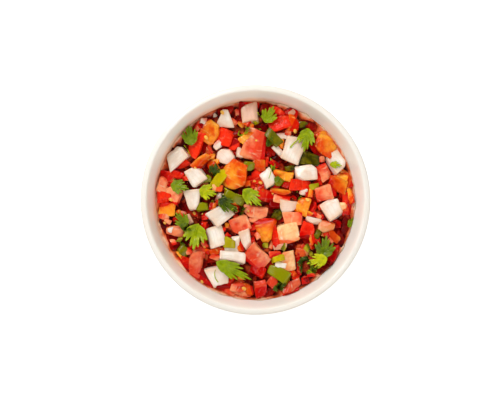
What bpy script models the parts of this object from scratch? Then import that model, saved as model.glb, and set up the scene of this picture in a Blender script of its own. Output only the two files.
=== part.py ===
"""Pico de gallo in its round porcelain bowl.

Metres, +Z up. The origin is the middle of the bowl's foot, where it stands on the table, and -Y is the
front. The bowl is turned. The salsa is one heap: hand-cut dice fused on a smaller core that fills the bowl.
The larger coriander leaves lie loose on top, each a thin wavy solid of its own. The rows of pieces below are
a plan of the bowl seen from above, in millimetres and degrees.
"""

import math
import random

import bmesh
import bpy
import numpy as np
from mathutils import Matrix, Vector, noise
from mathutils.bvhtree import BVHTree

MM = 0.001

# Bowl
RIM_RADIUS = 0.0600
RIM_HEIGHT = 0.0520
WALL = 0.0030
FOOT_RADIUS = 0.0270
FOOT_HEIGHT = 0.0030
FOOT_WIDTH = 0.0035
FOOT_EDGE = 0.0005
BASE_UNDERSIDE = 0.0016
BASE_TOP = 0.0052
WALL_PULL_LOW = (0.0430, 0.0060)
WALL_PULL_HIGH = (0.0530, 0.0340)
WALL_STEPS = 7
LIP_WIDTH = 0.0042
LIP_HEIGHT = 0.0011
LIP_FLARE = 8
RIM_STEPS = 4
SIDES = 64

# Salsa
FOOD_EDGE_DROP = 0.0096
FOOD_CROWN = 0.0009
FOOD_WAVE = 0.0007
FOOD_WAVES_PER_METRE = 45.0
CORE_DROP = 0.0042
CORE_RINGS = 4
GAP = 0.00035
WELD = 0.00002
DICE_HEIGHT = 0.0085
DICE_TILT = math.radians(12)
CORNER_WANDER = 0.09
CHILLI_HEIGHT = 0.0045
CHILLI_BEND = 0.0012
FILLER_COUNT = 56
FILLER_SIZE = (0.0060, 0.0095)
FILLER_DROP = 0.0020
FILLER_SPACING = 0.0088
FILLER_REACH = 0.0450
WALL_DICE_COUNT = 26
WALL_DICE_RADIUS = 0.0500
WALL_DICE_WIDTH = 0.0080
WALL_DICE_DROP = 0.0009

# Leaves
LEAF_THICKNESS = 0.00045
LEAF_RIM_POINTS = 40
LEAF_LOBES = 3
LOBE_DEPTH = 0.30
TOOTH_DEPTH = 0.12
LEAF_SPREAD = math.radians(80)
LEAF_TAPER = 0.15
LEAF_MIDDLE = Vector((0.25, 0.0, 0.0))
LEAF_WAVE = 0.0006
LEAF_REACH = 0.0018

# Height map on which the leaves are laid
MAP_HALF = 0.056
MAP_STEP = 0.0007

SEED = 20

# Each row of dice: x, y of the middle, length, width, turn of the length from +X, taper of the width towards
# the far end, and lift of the top over the level of the salsa.
ONION_DICE = (
    (-42.6, 23.4, 13.6, 11.8, 32, 0.20, 1.4),
    (-30.8, 12.8, 10.0, 8.2, -55, -0.05, 1.3),
    (-33.0, 0.3, 10.8, 7.8, -82, 0.22, 1.0),
    (-18.7, -8.0, 11.2, 9.2, 33, 0.05, 1.6),
    (-21.3, -19.4, 10.6, 9.0, -79, 0.00, 0.8),
    (-12.2, -22.8, 8.4, 7.6, 0, 0.00, -0.4),
    (-12.4, -30.4, 12.5, 5.8, -8, -0.10, 0.6),
    (-4.7, -20.2, 11.4, 5.4, -76, 0.10, 1.2),
    (-19.8, -39.6, 9.6, 10.2, -76, 0.18, 1.0),
    (-16.2, 44.0, 9.4, 6.6, 84, 0.60, 0.7),
    (-2.6, 45.6, 9.8, 9.4, -80, 0.00, 0.6),
    (-15.4, 23.2, 9.6, 7.8, -52, 0.18, 0.6),
    (-8.8, 25.2, 5.6, 3.2, 80, 0.00, -0.2),
    (6.2, 11.2, 8.6, 6.6, -63, 0.05, 1.3),
    (26.2, 14.6, 11.4, 8.0, 4, 0.05, 1.4),
    (20.4, 26.8, 14.4, 10.0, 72, -0.05, 1.3),
    (11.4, 26.8, 6.8, 3.2, -45, 0.00, -0.7),
    (13.6, 33.4, 6.4, 3.6, 5, 0.00, -1.0),
    (42.2, 20.2, 11.6, 8.8, -56, 0.00, 0.8),
    (40.4, -4.6, 10.4, 9.6, -60, 0.00, 1.7),
    (17.6, -2.8, 9.0, 6.0, -6, 0.15, 0.8),
    (30.2, -11.2, 8.0, 3.0, -12, 0.20, 0.6),
    (13.2, -33.8, 6.2, 4.2, -8, 0.00, 0.9),
    (-35.2, -10.6, 5.4, 4.0, -60, 0.00, -0.5),
    (-45.4, -16.2, 3.8, 3.4, 10, 0.00, 0.4),
    (12.6, -24.2, 7.4, 3.0, 10, 0.00, -0.6),
    (18.6, 46.2, 4.4, 2.8, 35, 0.00, 0.0),
)
TOMATO_RED = (
    (-31.0, 29.2, 14.0, 5.8, 68, 0.05, 0.9),
    (-16.0, 33.6, 9.4, 8.2, 70, 0.00, 0.3),
    (-10.4, 29.4, 6.4, 4.8, 80, 0.00, -0.4),
    (12.8, 40.8, 10.6, 8.4, 15, 0.00, 0.5),
    (12.4, 47.8, 9.2, 4.6, -15, 0.00, 0.4),
    (32.0, 26.0, 8.6, 4.4, -60, 0.00, -0.5),
    (24.0, 7.8, 12.4, 5.4, 0, 0.00, -0.1),
    (5.0, 2.6, 9.0, 6.4, -20, 0.10, 0.3),
    (10.6, -1.4, 6.6, 6.0, 10, 0.00, -0.4),
    (-49.0, 1.4, 8.0, 6.6, -10, 0.00, 0.4),
    (-47.8, -11.4, 7.0, 3.0, -65, 0.00, -0.6),
    (-15.8, -45.6, 10.4, 4.8, -12, 0.00, -0.2),
    (10.0, -19.4, 12.4, 5.0, -75, 0.00, -0.2),
    (1.0, -36.6, 10.6, 6.4, -30, 0.00, -0.3),
    (41.8, -28.0, 12.4, 4.6, 62, 0.00, 0.1),
    (22.2, -34.4, 11.4, 3.4, 92, 0.00, -0.2),
    (47.4, -5.2, 8.4, 4.6, -80, 0.00, -0.2),
    (42.4, -12.4, 5.6, 5.0, -30, 0.00, -0.3),
    (33.0, 13.2, 5.6, 4.4, 70, 0.00, -0.8),
    (-39.4, 18.8, 9.4, 5.6, 40, 0.00, -1.0),
    (-41.6, 13.2, 8.4, 5.0, -5, 0.00, -0.6),
    (1.2, 14.0, 6.0, 6.4, -50, 0.00, -0.8),
    (6.2, -11.8, 10.0, 4.4, 0, 0.00, 0.2),
    (30.6, -3.2, 6.4, 4.4, 80, 0.00, -0.6),
    (27.4, -16.6, 9.4, 7.8, 70, 0.00, 0.5),
    (28.0, 3.2, 6.4, 4.4, -80, 0.00, -0.2),
    (47.0, 4.8, 8.4, 4.2, 80, 0.00, -0.7),
)
TOMATO_PINK = (
    (-0.5, 29.4, 15.0, 12.4, 75, 0.15, 1.9),
    (-49.6, 7.8, 9.0, 7.8, 60, 0.00, 0.6),
    (-43.8, 3.2, 9.2, 7.8, -30, 0.00, 0.5),
    (-42.2, -16.8, 9.8, 6.2, 10, 0.00, 0.4),
    (-31.4, -34.2, 15.0, 8.0, 82, 0.00, 0.8),
    (-7.6, -46.2, 10.4, 5.8, -15, 0.00, 0.2),
    (2.6, -46.2, 8.8, 6.8, -80, 0.00, 0.5),
    (0.6, -30.2, 12.6, 10.6, -40, 0.10, 1.3),
    (20.0, -9.2, 9.8, 6.2, 0, 0.00, 0.8),
    (36.2, 3.6, 9.0, 8.0, 14, 0.00, 1.4),
    (36.2, 15.2, 8.8, 6.2, -62, 0.00, 0.5),
    (14.6, 1.2, 9.4, 4.8, -10, 0.00, 0.2),
    (18.8, -45.8, 10.4, 6.0, 20, 0.00, 0.1),
    (10.4, -28.6, 6.0, 4.4, 10, 0.00, 0.1),
    (-8.2, -12.0, 10.4, 8.0, 25, 0.00, 0.7),
    (-0.6, -5.8, 12.2, 6.2, -10, 0.00, 0.5),
    (9.0, -43.6, 6.0, 5.4, -50, 0.00, 0.1),
    (-29.8, -27.4, 7.0, 5.4, 90, 0.00, -0.3),
)
TOMATO_ORANGE = (
    (-24.0, 35.6, 12.2, 10.0, 60, 0.10, 1.2),
    (-28.6, 20.4, 10.4, 4.8, 42, 0.10, 1.6),
    (-11.0, 13.4, 14.2, 12.2, 70, 0.22, 1.6),
    (2.2, 18.2, 6.8, 5.2, -5, 0.00, 0.5),
    (-4.8, 33.8, 9.6, 4.2, 38, 0.00, 1.1),
    (-46.8, -5.0, 10.0, 6.8, -5, 0.00, 0.3),
    (5.4, -16.8, 11.6, 8.0, -88, 0.60, 1.1),
    (37.2, 28.6, 11.2, 9.6, -35, 0.00, 1.6),
    (43.0, 8.0, 9.6, 7.2, -20, 0.00, 0.8),
    (45.4, 12.6, 8.4, 4.4, -10, 0.00, 0.6),
    (20.6, 40.0, 8.8, 6.4, 80, 0.00, 0.3),
    (14.8, 13.2, 9.8, 5.8, -8, 0.00, 0.1),
    (17.2, 8.4, 6.4, 4.4, -30, 0.00, -0.3),
    (13.4, 4.9, 10.4, 3.0, -3, 0.00, 0.4),
    (50.6, 1.8, 9.2, 4.0, -82, 0.00, 0.6),
    (26.0, -3.2, 9.4, 7.2, 70, 0.15, 0.6),
    (41.6, -19.2, 8.0, 4.4, -40, 0.00, -0.4),
    (-21.0, -26.4, 8.4, 4.0, 25, 0.00, -0.6),
    (-3.2, -48.0, 7.4, 4.4, -80, 0.00, 0.0),
    (-22.4, 17.6, 7.4, 5.4, -60, 0.00, -0.2),
    (13.8, 29.8, 5.6, 3.6, 80, 0.00, -0.6),
    (-8.4, -24.2, 6.4, 3.6, -80, 0.00, -0.4),
)
TOMATO_PALE = (
    (17.8, -17.4, 11.4, 10.0, 15, 0.00, 1.5),
    (17.6, -32.0, 11.2, 6.8, -85, 0.00, 0.8),
    (36.8, -13.4, 8.4, 5.4, -8, 0.00, 0.6),
    (45.6, -4.0, 5.4, 5.0, 0, 0.20, 0.7),
    (25.6, -27.4, 7.0, 4.2, -10, 0.00, -0.8),
    (-19.8, 6.2, 6.6, 4.0, 0, 0.00, -0.2),
)
CHILLI_PIECES = (
    (9.3, 32.5, 10.6, 4.8, -50, 0.00, 0.8),
    (28.4, 22.0, 11.6, 6.2, -12, 0.20, 0.5),
    (-3.4, 18.0, 6.8, 4.8, -5, 0.00, 0.9),
    (-19.0, 11.4, 10.8, 5.2, 52, 0.00, 0.5),
    (-28.0, -3.6, 6.4, 4.4, 10, 0.00, 0.3),
    (-13.6, -22.2, 7.0, 5.4, -15, 0.30, 0.8),
    (12.2, -38.4, 12.2, 6.8, -28, 0.00, 0.7),
    (12.0, -30.8, 7.2, 3.4, 20, 0.00, 1.5),
    (-38.2, -26.6, 6.8, 5.0, -40, 0.00, -0.2),
    (-11.0, 1.3, 12.2, 4.4, -25, 0.00, 0.4),
    (11.8, -7.2, 6.4, 5.0, 60, 0.00, -1.3),
    (24.6, 40.0, 6.8, 3.6, -5, 0.00, -0.8),
    (18.4, 17.2, 5.6, 3.0, 10, 0.00, -1.3),
    (32.8, -18.4, 5.8, 3.0, 65, 0.00, -0.4),
    (12.0, 9.6, 4.6, 4.2, -40, 0.00, 0.7),
)

# Each row of leaves: x, y of the middle, length, width, turn of the leaf from stalk to tip, and curl of its
# tips. A leaf lies on those above it in the list.
CORIANDER_LEAVES = (
    (-34.6, 34.6, 12.0, 9.0, 100, 0.8),
    (-39.8, 7.0, 10.0, 8.0, -14, 0.7),
    (-25.0, 4.2, 9.6, 8.6, -15, 0.8),
    (-14.4, -2.8, 12.0, 8.0, -32, 0.4),
    (-1.6, 1.2, 13.0, 9.0, -42, 1.0),
    (-39.0, -10.2, 9.4, 8.0, 130, 0.8),
    (-31.6, -19.4, 14.0, 13.0, -98, 0.8),
    (-11.4, -37.2, 21.0, 9.0, -27, 0.7),
    (36.6, -24.6, 12.0, 11.0, 82, 0.9),
    (32.4, -32.0, 11.0, 8.0, 195, 0.7),
    (7.4, 45.2, 9.8, 9.0, 62, 1.0),
    (26.6, 31.6, 13.0, 9.6, -100, 0.9),
)


def bezier(points, steps):
    """Points along the cubic curve whose four control points are given, both ends included."""
    a, b, c, d = (np.array(p, float) for p in points)
    t = np.linspace(0.0, 1.0, steps + 1)[:, None]
    return a * (1 - t) ** 3 + 3 * b * t * (1 - t) ** 2 + 3 * c * t * t * (1 - t) + d * t**3


def outer_wall(steps):
    """The bowl's outer side from its foot up to its rim, as radius and height."""
    low = (FOOT_RADIUS, FOOT_HEIGHT)
    high = (RIM_RADIUS, RIM_HEIGHT - WALL / 2)
    return bezier((low, WALL_PULL_LOW, WALL_PULL_HIGH, high), steps)


def inner_wall(steps):
    """The bowl's inner side: one wall's thickness inside the outer one, and more towards the lip."""
    outer = outer_wall(steps)
    along = np.gradient(outer, axis=0)
    along /= np.linalg.norm(along, axis=1)[:, None]
    inwards = np.stack([-along[:, 1], along[:, 0]], axis=1)
    thickness = WALL + (LIP_WIDTH - WALL) * np.linspace(0.0, 1.0, steps + 1) ** LIP_FLARE
    return outer + inwards * thickness[:, None]


def inner_radius(height):
    """How far the bowl's inner side is from the axis at this height."""
    wall = inner_wall(WALL_STEPS)
    return float(np.interp(height, wall[:, 1], wall[:, 0]))


def food_level(x, y):
    """The height of the salsa's surface, without its dice: nearly flat, slightly crowned, and uneven."""
    crown = FOOD_CROWN * (1.0 - (math.hypot(x, y) / RIM_RADIUS) ** 2)
    place = Vector((x, y, SEED * MM)) * FOOD_WAVES_PER_METRE
    return RIM_HEIGHT - FOOD_EDGE_DROP + crown + FOOD_WAVE * noise.noise(place)


def kept_inside(point, gap=GAP):
    """The point, moved towards the axis if it is closer than the gap to the bowl's wall."""
    radius = math.hypot(point.x, point.y)
    room = inner_radius(point.z) - gap
    if radius <= room:
        return point
    return Vector((point.x * room / radius, point.y * room / radius, point.z))


def new_material(name, colour, roughness):
    material = bpy.data.materials.new(name)
    material.use_nodes = True
    shader = material.node_tree.nodes["Principled BSDF"]
    shader.inputs["Base Color"].default_value = (*colour, 1.0)
    shader.inputs["Roughness"].default_value = roughness
    shader.inputs["Metallic"].default_value = 0.0
    return material


def new_object(name, mesh, collection, material=None):
    made = bpy.data.objects.new(name, mesh)
    if material:
        mesh.materials.append(material)
    collection.objects.link(made)
    return made


def mesh_from(bm, name):
    mesh = bpy.data.meshes.new(name)
    bm.to_mesh(mesh)
    bm.free()
    return mesh


def turned(name, profile, collection, material=None):
    """A solid of revolution. The profile is radius and height, from the axis over the top to the outside."""
    bm = bmesh.new()
    corners = [bm.verts.new((radius, 0.0, height)) for radius, height in profile]
    for upper, lower in zip(corners, corners[1:]):
        bm.edges.new((upper, lower))
    made = new_object(name, mesh_from(bm, name), collection, material)
    screw = made.modifiers.new("Turn", "SCREW")
    screw.steps = screw.render_steps = SIDES
    screw.use_merge_vertices = True
    screw.merge_threshold = 0.00001
    screw.use_smooth_shade = True
    return made


def add_bowl(collection, material):
    """Rounded porcelain bowl with a rolled rim and a turned foot ring."""
    inside = inner_wall(WALL_STEPS)
    outside = outer_wall(WALL_STEPS)
    lip = (inside[-1] + outside[-1]) / 2
    across = (outside[-1] - inside[-1]) / 2
    up = np.array((-across[1], across[0])) / np.linalg.norm(across) * LIP_HEIGHT
    rim = [
        lip - across * math.cos(angle) + up * math.sin(angle)
        for angle in np.linspace(0.0, math.pi, RIM_STEPS + 1)[1:-1]
    ]
    foot = (
        (FOOT_RADIUS - FOOT_EDGE, FOOT_EDGE),
        (FOOT_RADIUS - 2 * FOOT_EDGE, 0.0),
        (FOOT_RADIUS - FOOT_WIDTH, 0.0),
        (FOOT_RADIUS - FOOT_WIDTH - FOOT_EDGE, BASE_UNDERSIDE),
        (0.0, BASE_UNDERSIDE),
    )
    floor = ((0.0, BASE_TOP), (FOOT_RADIUS / 2, BASE_TOP + FOOT_EDGE / 2))
    profile = [*floor, *inside, *rim, *outside[::-1], *foot]
    return turned("bowl", profile, collection, material)


def add_core(collection):
    """The body of the salsa under its visible dice: it fills the bowl up to just below them."""
    edge_height = food_level(0.0, RIM_RADIUS) - CORE_DROP
    edge = (inner_radius(edge_height) - GAP, edge_height)
    wall = [(r - GAP, z + GAP / 2) for r, z in inner_wall(WALL_STEPS) if z < edge_height - GAP]
    top = [
        (edge[0] * ring / CORE_RINGS, edge_height + FOOD_CROWN * (1 - (ring / CORE_RINGS) ** 2))
        for ring in range(CORE_RINGS)
    ]
    floor = ((FOOT_RADIUS / 2, BASE_TOP + FOOT_EDGE / 2 + GAP), (0.0, BASE_TOP + GAP))
    return turned("core", [*top, edge, *wall[::-1], *floor], collection)


def place_piece(bm, row, height, draw):
    """Tilts a piece modelled about its middle, sets its top at its lift over the salsa, in the bowl."""
    x, y, turn, lift = row[0] * MM, row[1] * MM, math.radians(row[4]), row[6] * MM
    tilt = Matrix.Rotation(draw.uniform(-1, 1) * DICE_TILT, 4, "X")
    tilt = Matrix.Rotation(draw.uniform(-1, 1) * DICE_TILT, 4, "Y") @ tilt
    middle = Vector((x, y, food_level(x, y) + lift - height / 2))
    bm.transform(Matrix.Translation(middle) @ tilt @ Matrix.Rotation(turn, 4, "Z"))
    for vert in bm.verts:
        vert.co = kept_inside(vert.co)


def cut_block(row, height, draw):
    """A knife-cut block: a cube to size, its width tapered along its length, each corner a little off."""
    length, width, taper = row[2] * MM, row[3] * MM, row[5]
    bm = bmesh.new()
    bmesh.ops.create_cube(bm, size=1.0)
    for vert in bm.verts:
        narrowed = 1.0 - taper * math.copysign(1.0, vert.co.x)
        vert.co = Vector((vert.co.x * length, vert.co.y * width * narrowed, vert.co.z * height))
        vert.co.x += draw.uniform(-1, 1) * CORNER_WANDER * length
        vert.co.y += draw.uniform(-1, 1) * CORNER_WANDER * width
        vert.co.z += draw.uniform(-1, 1) * CORNER_WANDER * height / 2
    return bm


def cut_diced(row, draw):
    bm = cut_block(row, DICE_HEIGHT, draw)
    place_piece(bm, row, DICE_HEIGHT, draw)
    return bm


def cut_chilli(row, draw):
    """A piece of the pod's wall: a slab arched along its length."""
    bm = cut_block(row, CHILLI_HEIGHT, draw)
    long_edges = [e for e in bm.edges if abs((e.verts[0].co - e.verts[1].co).x) > row[2] * MM / 2]
    bmesh.ops.subdivide_edges(bm, edges=long_edges, cuts=1)
    for vert in bm.verts:
        along = min(1.0, abs(vert.co.x) / (row[2] * MM / 2))
        vert.co.z += CHILLI_BEND * (0.5 - along)
    place_piece(bm, row, CHILLI_HEIGHT, draw)
    return bm


def filler_rows(draw):
    """Smaller dice one layer down, spread evenly by rejecting points that are too close to an earlier one,
    and a ring of dice along the bowl's wall."""
    rows = []
    while len(rows) < FILLER_COUNT:
        radius = FILLER_REACH * math.sqrt(draw.random())
        angle = draw.uniform(0, 2 * math.pi)
        x, y = radius * math.cos(angle), radius * math.sin(angle)
        if all(math.hypot(x - r[0] * MM, y - r[1] * MM) > FILLER_SPACING for r in rows):
            length, width = (draw.uniform(*FILLER_SIZE) / MM for _ in range(2))
            turn = draw.uniform(0, 180)
            rows.append((x / MM, y / MM, length, width, turn, 0.0, -FILLER_DROP / MM))
    for number in range(WALL_DICE_COUNT):
        angle = 2 * math.pi * (number + draw.uniform(-0.2, 0.2)) / WALL_DICE_COUNT
        x, y = WALL_DICE_RADIUS * math.cos(angle), WALL_DICE_RADIUS * math.sin(angle)
        length = 2 * math.pi * WALL_DICE_RADIUS / WALL_DICE_COUNT * draw.uniform(0.8, 1.1) / MM
        drop = WALL_DICE_DROP * draw.uniform(0.6, 1.6) / MM
        turn = math.degrees(angle) + 90
        rows.append((x / MM, y / MM, length, WALL_DICE_WIDTH / MM, turn, 0.0, -drop))
    return rows


def largest_body(mesh):
    """Leaves only the largest of the mesh's closed surfaces: loose scraps and sealed hollows go."""
    bm = bmesh.new()
    bm.from_mesh(mesh)
    bmesh.ops.dissolve_verts(bm, verts=[v for v in bm.verts if len(v.link_edges) == 2])
    bmesh.ops.triangulate(bm, faces=bm.faces)
    bmesh.ops.remove_doubles(bm, verts=bm.verts, dist=WELD)
    unseen = set(bm.faces)
    surfaces = []
    while unseen:
        surface, found = set(), [unseen.pop()]
        while found:
            face = found.pop()
            surface.add(face)
            near = {f for e in face.edges if e.is_manifold for f in e.link_faces} & unseen
            unseen -= near
            found += near
        surfaces.append(surface)
    largest = max(surfaces, key=len)
    bmesh.ops.delete(bm, geom=[f for f in bm.faces if f not in largest], context="FACES")
    bm.to_mesh(mesh)
    bm.free()


def add_salsa(collection, material):
    """The whole heap: every die fused on the core by one union."""
    pieces = bpy.data.collections.new("salsa_pieces")
    bpy.context.scene.collection.children.link(pieces)
    draw = random.Random(SEED)
    kinds = (
        ("onion", ONION_DICE, cut_diced),
        ("tomato_red", TOMATO_RED, cut_diced),
        ("tomato_pink", TOMATO_PINK, cut_diced),
        ("tomato_orange", TOMATO_ORANGE, cut_diced),
        ("tomato_pale", TOMATO_PALE, cut_diced),
        ("chilli", CHILLI_PIECES, cut_chilli),
        ("filler", filler_rows(draw), cut_diced),
    )
    for kind, rows, cut in kinds:
        for number, row in enumerate(rows):
            name = f"{kind}_{number:02d}"
            new_object(name, mesh_from(cut(row, draw), name), pieces)
    core = add_core(collection)
    union = core.modifiers.new("Fuse", "BOOLEAN")
    union.operation = "UNION"
    union.operand_type = "COLLECTION"
    union.collection = pieces
    union.solver = "MANIFOLD"
    seen = core.evaluated_get(bpy.context.evaluated_depsgraph_get())
    mesh = bpy.data.meshes.new_from_object(seen)
    for used in [*pieces.objects, core]:
        bpy.data.objects.remove(used)
    bpy.data.collections.remove(pieces)
    largest_body(mesh)
    mesh.materials.clear()
    mesh.shade_flat()
    return new_object("salsa", mesh, collection, material)


class HeightMap:
    """The top of what lies in the bowl, over a square grid."""

    def __init__(self):
        self.axis = np.arange(-MAP_HALF, MAP_HALF + MAP_STEP, MAP_STEP)
        self.top = np.full((len(self.axis), len(self.axis)), RIM_HEIGHT - FOOD_EDGE_DROP)

    def under(self, bm):
        """Where a ray straight down meets this mesh: for each hit the cell, its height and the face."""
        tree = BVHTree.FromBMesh(bm)
        low, high = (f(np.array([v.co[:2] for v in bm.verts]), axis=0) for f in (np.min, np.max))
        first, last = (np.searchsorted(self.axis, side) for side in (low, high))
        for i in range(first[0], last[0]):
            for j in range(first[1], last[1]):
                start = Vector((self.axis[i], self.axis[j], RIM_HEIGHT * 2))
                hit, _, face, _ = tree.ray_cast(start, Vector((0, 0, -1)))
                if hit:
                    yield (i, j), hit.z, face

    def lay(self, mesh):
        """Raises the map to this mesh."""
        bm = bmesh.new()
        bm.from_mesh(mesh)
        for cell, height, _ in self.under(bm):
            self.top[cell] = max(self.top[cell], height)
        bm.free()

    def gathered(self, combine, reach):
        """A map with each cell's neighbours out to this reach combined into one value."""
        cells = max(1, round(reach / MAP_STEP))
        shifts = range(-cells, cells + 1)
        near = [
            np.roll(self.top, (i, j), axis=(0, 1))
            for i in shifts
            for j in shifts
            if i * i + j * j <= cells * cells + 1
        ]
        gathered = HeightMap()
        gathered.top = combine(near, axis=0)
        return gathered

    def at(self, x, y):
        """The height at a point, interpolated between cells."""
        i, j = (x - self.axis[0]) / MAP_STEP, (y - self.axis[0]) / MAP_STEP
        i0, j0 = int(i), int(j)
        u, v = i - i0, j - j0
        low = self.top[i0, j0] * (1 - v) + self.top[i0, j0 + 1] * v
        high = self.top[i0 + 1, j0] * (1 - v) + self.top[i0 + 1, j0 + 1] * v
        return float(low * (1 - u) + high * u)


def lift_clear(bm, heap):
    """Raises a leaf's corners until all of it clears the heap by the gap."""
    bm.faces.ensure_lookup_table()
    peaks = heap.gathered(np.max, MAP_STEP)
    lacking = dict.fromkeys(bm.verts, 0.0)
    for cell, height, face in heap.under(bm):
        for vert in bm.faces[face].verts:
            lacking[vert] = max(lacking[vert], peaks.top[cell] + GAP - height)
    for vert, lift in lacking.items():
        vert.co.z += lift


def leaf_edge(share):
    """A point on a leaf's edge, in leaf lengths from its stalk. The share runs from -1 at the stalk over the
    leaf's tips to 1 at the stalk again, past a few lobes with teeth."""
    angle = LEAF_SPREAD * share
    notch = 0.5 - 0.5 * math.cos(LEAF_LOBES * math.pi * share)
    tooth = 0.5 - 0.5 * math.cos(3 * LEAF_LOBES * math.pi * share)
    reach = (1.0 - LEAF_TAPER * share**2) * (1.0 - share**8)
    reach *= (1.0 - LOBE_DEPTH * notch**3) * (1.0 - TOOTH_DEPTH * tooth)
    return Vector((reach * math.cos(angle), reach * math.sin(angle), 0.0))


def add_leaf(name, row, heap, collection, material):
    """A fan-shaped lobed leaf: a disc of triangles drawn out to its outline, draped on the heap, and extruded
    straight up, so that both its faces are split alike."""
    x, y, length, width = (v * MM for v in row[:4])
    turn, curl = math.radians(row[4]), row[5] * MM
    bm = bmesh.new()
    bmesh.ops.create_circle(bm, cap_ends=True, cap_tris=True, segments=LEAF_RIM_POINTS, radius=1.0)
    spokes = [e for e in bm.edges if min(v.co.length for v in e.verts) < 0.5]
    bmesh.ops.subdivide_edges(bm, edges=spokes, cuts=1)
    bmesh.ops.triangulate(bm, faces=bm.faces)
    half_width = leaf_edge(2 / LEAF_LOBES).y
    place = Matrix.Translation((x, y, RIM_HEIGHT - FOOD_EDGE_DROP)) @ Matrix.Rotation(turn, 4, "Z")
    cover = heap.gathered(np.max, LEAF_REACH).gathered(np.mean, LEAF_REACH)
    for vert in bm.verts:
        out = vert.co.length
        share = math.atan2(vert.co.y, vert.co.x) / math.pi
        flat = LEAF_MIDDLE.lerp(leaf_edge(share), out)
        wave = LEAF_WAVE * (0.5 + 0.5 * math.sin(2 * LEAF_LOBES * math.pi * share + turn))
        spot = kept_inside(place @ Vector(((flat.x - 0.5) * length, flat.y * width / half_width / 2, 0.0)))
        spot.z = cover.at(spot.x, spot.y) + GAP + (curl + wave) * out**2
        vert.co = kept_inside(spot, GAP + LEAF_THICKNESS)
    lift_clear(bm, heap)
    sheet = bmesh.ops.extrude_face_region(bm, geom=bm.faces, use_keep_orig=True)["geom"]
    upper = [part for part in sheet if isinstance(part, bmesh.types.BMVert)]
    bmesh.ops.translate(bm, verts=upper, vec=(0.0, 0.0, LEAF_THICKNESS))
    bmesh.ops.triangulate(bm, faces=bm.faces)
    bmesh.ops.recalc_face_normals(bm, faces=bm.faces)
    leaf = new_object(name, mesh_from(bm, name), collection, material)
    heap.lay(leaf.data)


def main():
    for old in list(bpy.data.objects):
        bpy.data.objects.remove(old)
    dish = bpy.data.collections.new("pico_de_gallo")
    bpy.context.scene.collection.children.link(dish)
    add_bowl(dish, new_material("porcelain", (0.90, 0.88, 0.83), 0.15))
    salsa = add_salsa(dish, new_material("diced_salsa", (0.75, 0.10, 0.04), 0.30))
    heap = HeightMap()
    heap.lay(salsa.data)
    green = new_material("coriander", (0.16, 0.34, 0.03), 0.45)
    for number, row in enumerate(CORIANDER_LEAVES, start=1):
        add_leaf(f"coriander_leaf_{number:02d}", row, heap, dish, green)


main()
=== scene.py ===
"""Pico de gallo in its round porcelain bowl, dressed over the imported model.

Metres, +Z up, and -Y is the front. The bowl is turned on the solids' own profile. The salsa's one solid is
replaced by what it stands for: each die where the solid has it, now with soft edges, flesh and skin, one piece for
each kind, over a core of juice with seeds and pulp. The rows of pieces are the plan that the solids were cut from,
in millimetres and degrees, and the draws that follow from its seed come in the same order.
"""

import math
import random

import bmesh
import bpy
import numpy as np
from mathutils import Matrix, Vector, noise
from mathutils.bvhtree import BVHTree


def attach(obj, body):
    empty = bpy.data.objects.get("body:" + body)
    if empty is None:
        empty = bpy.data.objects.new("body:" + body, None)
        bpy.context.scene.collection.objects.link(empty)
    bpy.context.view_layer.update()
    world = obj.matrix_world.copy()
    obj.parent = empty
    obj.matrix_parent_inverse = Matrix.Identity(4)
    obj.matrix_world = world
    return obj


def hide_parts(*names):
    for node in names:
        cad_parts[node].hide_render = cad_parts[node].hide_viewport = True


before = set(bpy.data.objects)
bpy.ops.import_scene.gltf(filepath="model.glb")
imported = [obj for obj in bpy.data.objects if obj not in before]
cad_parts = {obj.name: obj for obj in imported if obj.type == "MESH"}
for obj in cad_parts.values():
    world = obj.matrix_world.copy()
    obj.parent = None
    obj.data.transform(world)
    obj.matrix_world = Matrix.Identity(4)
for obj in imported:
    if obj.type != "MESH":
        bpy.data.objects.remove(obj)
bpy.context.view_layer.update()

MM = 0.001

# Photograph: the bowl's rim is this many pixels wide, about this pixel of the image, seen from this height.
IMAGE_WIDTH, IMAGE_HEIGHT = 500, 400
RIM_PIXELS = 230
RIM_MIDDLE = (255.5, 199.6)
CAMERA_ELEVATION = math.radians(88.0)
CAMERA_DISTANCE = 0.80
SENSOR = 36.0

# Studio: how bright the room is round the sides and straight above, and between which heights it changes. Then each
# light's place, size in metres and power in watts, and how the table looks.
ROOM_COLOUR = (1.0, 0.90, 0.79, 1.0)
SKY_SIDES, SKY_TOP = 0.80, 0.12
SKY_EDGE = (0.60, 0.97)
LIGHTS = {
    "window": ((-0.56, 0.92, 0.90), 0.7, 9.8),
    "glint": ((-0.55, 0.60, 0.90), 0.08, 1.6),
    "front": ((0.5, -0.8, 1.1), 0.9, 6.2),
}
TABLE_GREY = 0.60
TABLE_GLOW = 0.72
TABLE_SIZE = 4.0

# Bowl, as its solid is turned
RIM_RADIUS = 0.0600
RIM_HEIGHT = 0.0520
WALL = 0.0030
FOOT_RADIUS = 0.0270
FOOT_HEIGHT = 0.0030
FOOT_WIDTH = 0.0035
FOOT_EDGE = 0.0005
BASE_UNDERSIDE = 0.0016
BASE_TOP = 0.0052
WALL_PULL_LOW = (0.0430, 0.0060)
WALL_PULL_HIGH = (0.0530, 0.0340)
WALL_STEPS = 7
LIP_WIDTH = 0.0042
LIP_FLARE = 8
SMOOTH_WALL_STEPS = 48
RIM_STEPS = 14
SIDES = 160

# Bowl's lip: where its roll leaves the inner wall, how long that bend pulls, and the crest it rolls over.
ROLL_DROP = 0.0062
ROLL_PULL = 0.0026
CREST = (0.0574, 0.0526)
CREST_EASE_INSIDE = 0.0010
CREST_EASE_OUTSIDE = 0.0015
OUTSIDE_PULL = 0.0011

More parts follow.
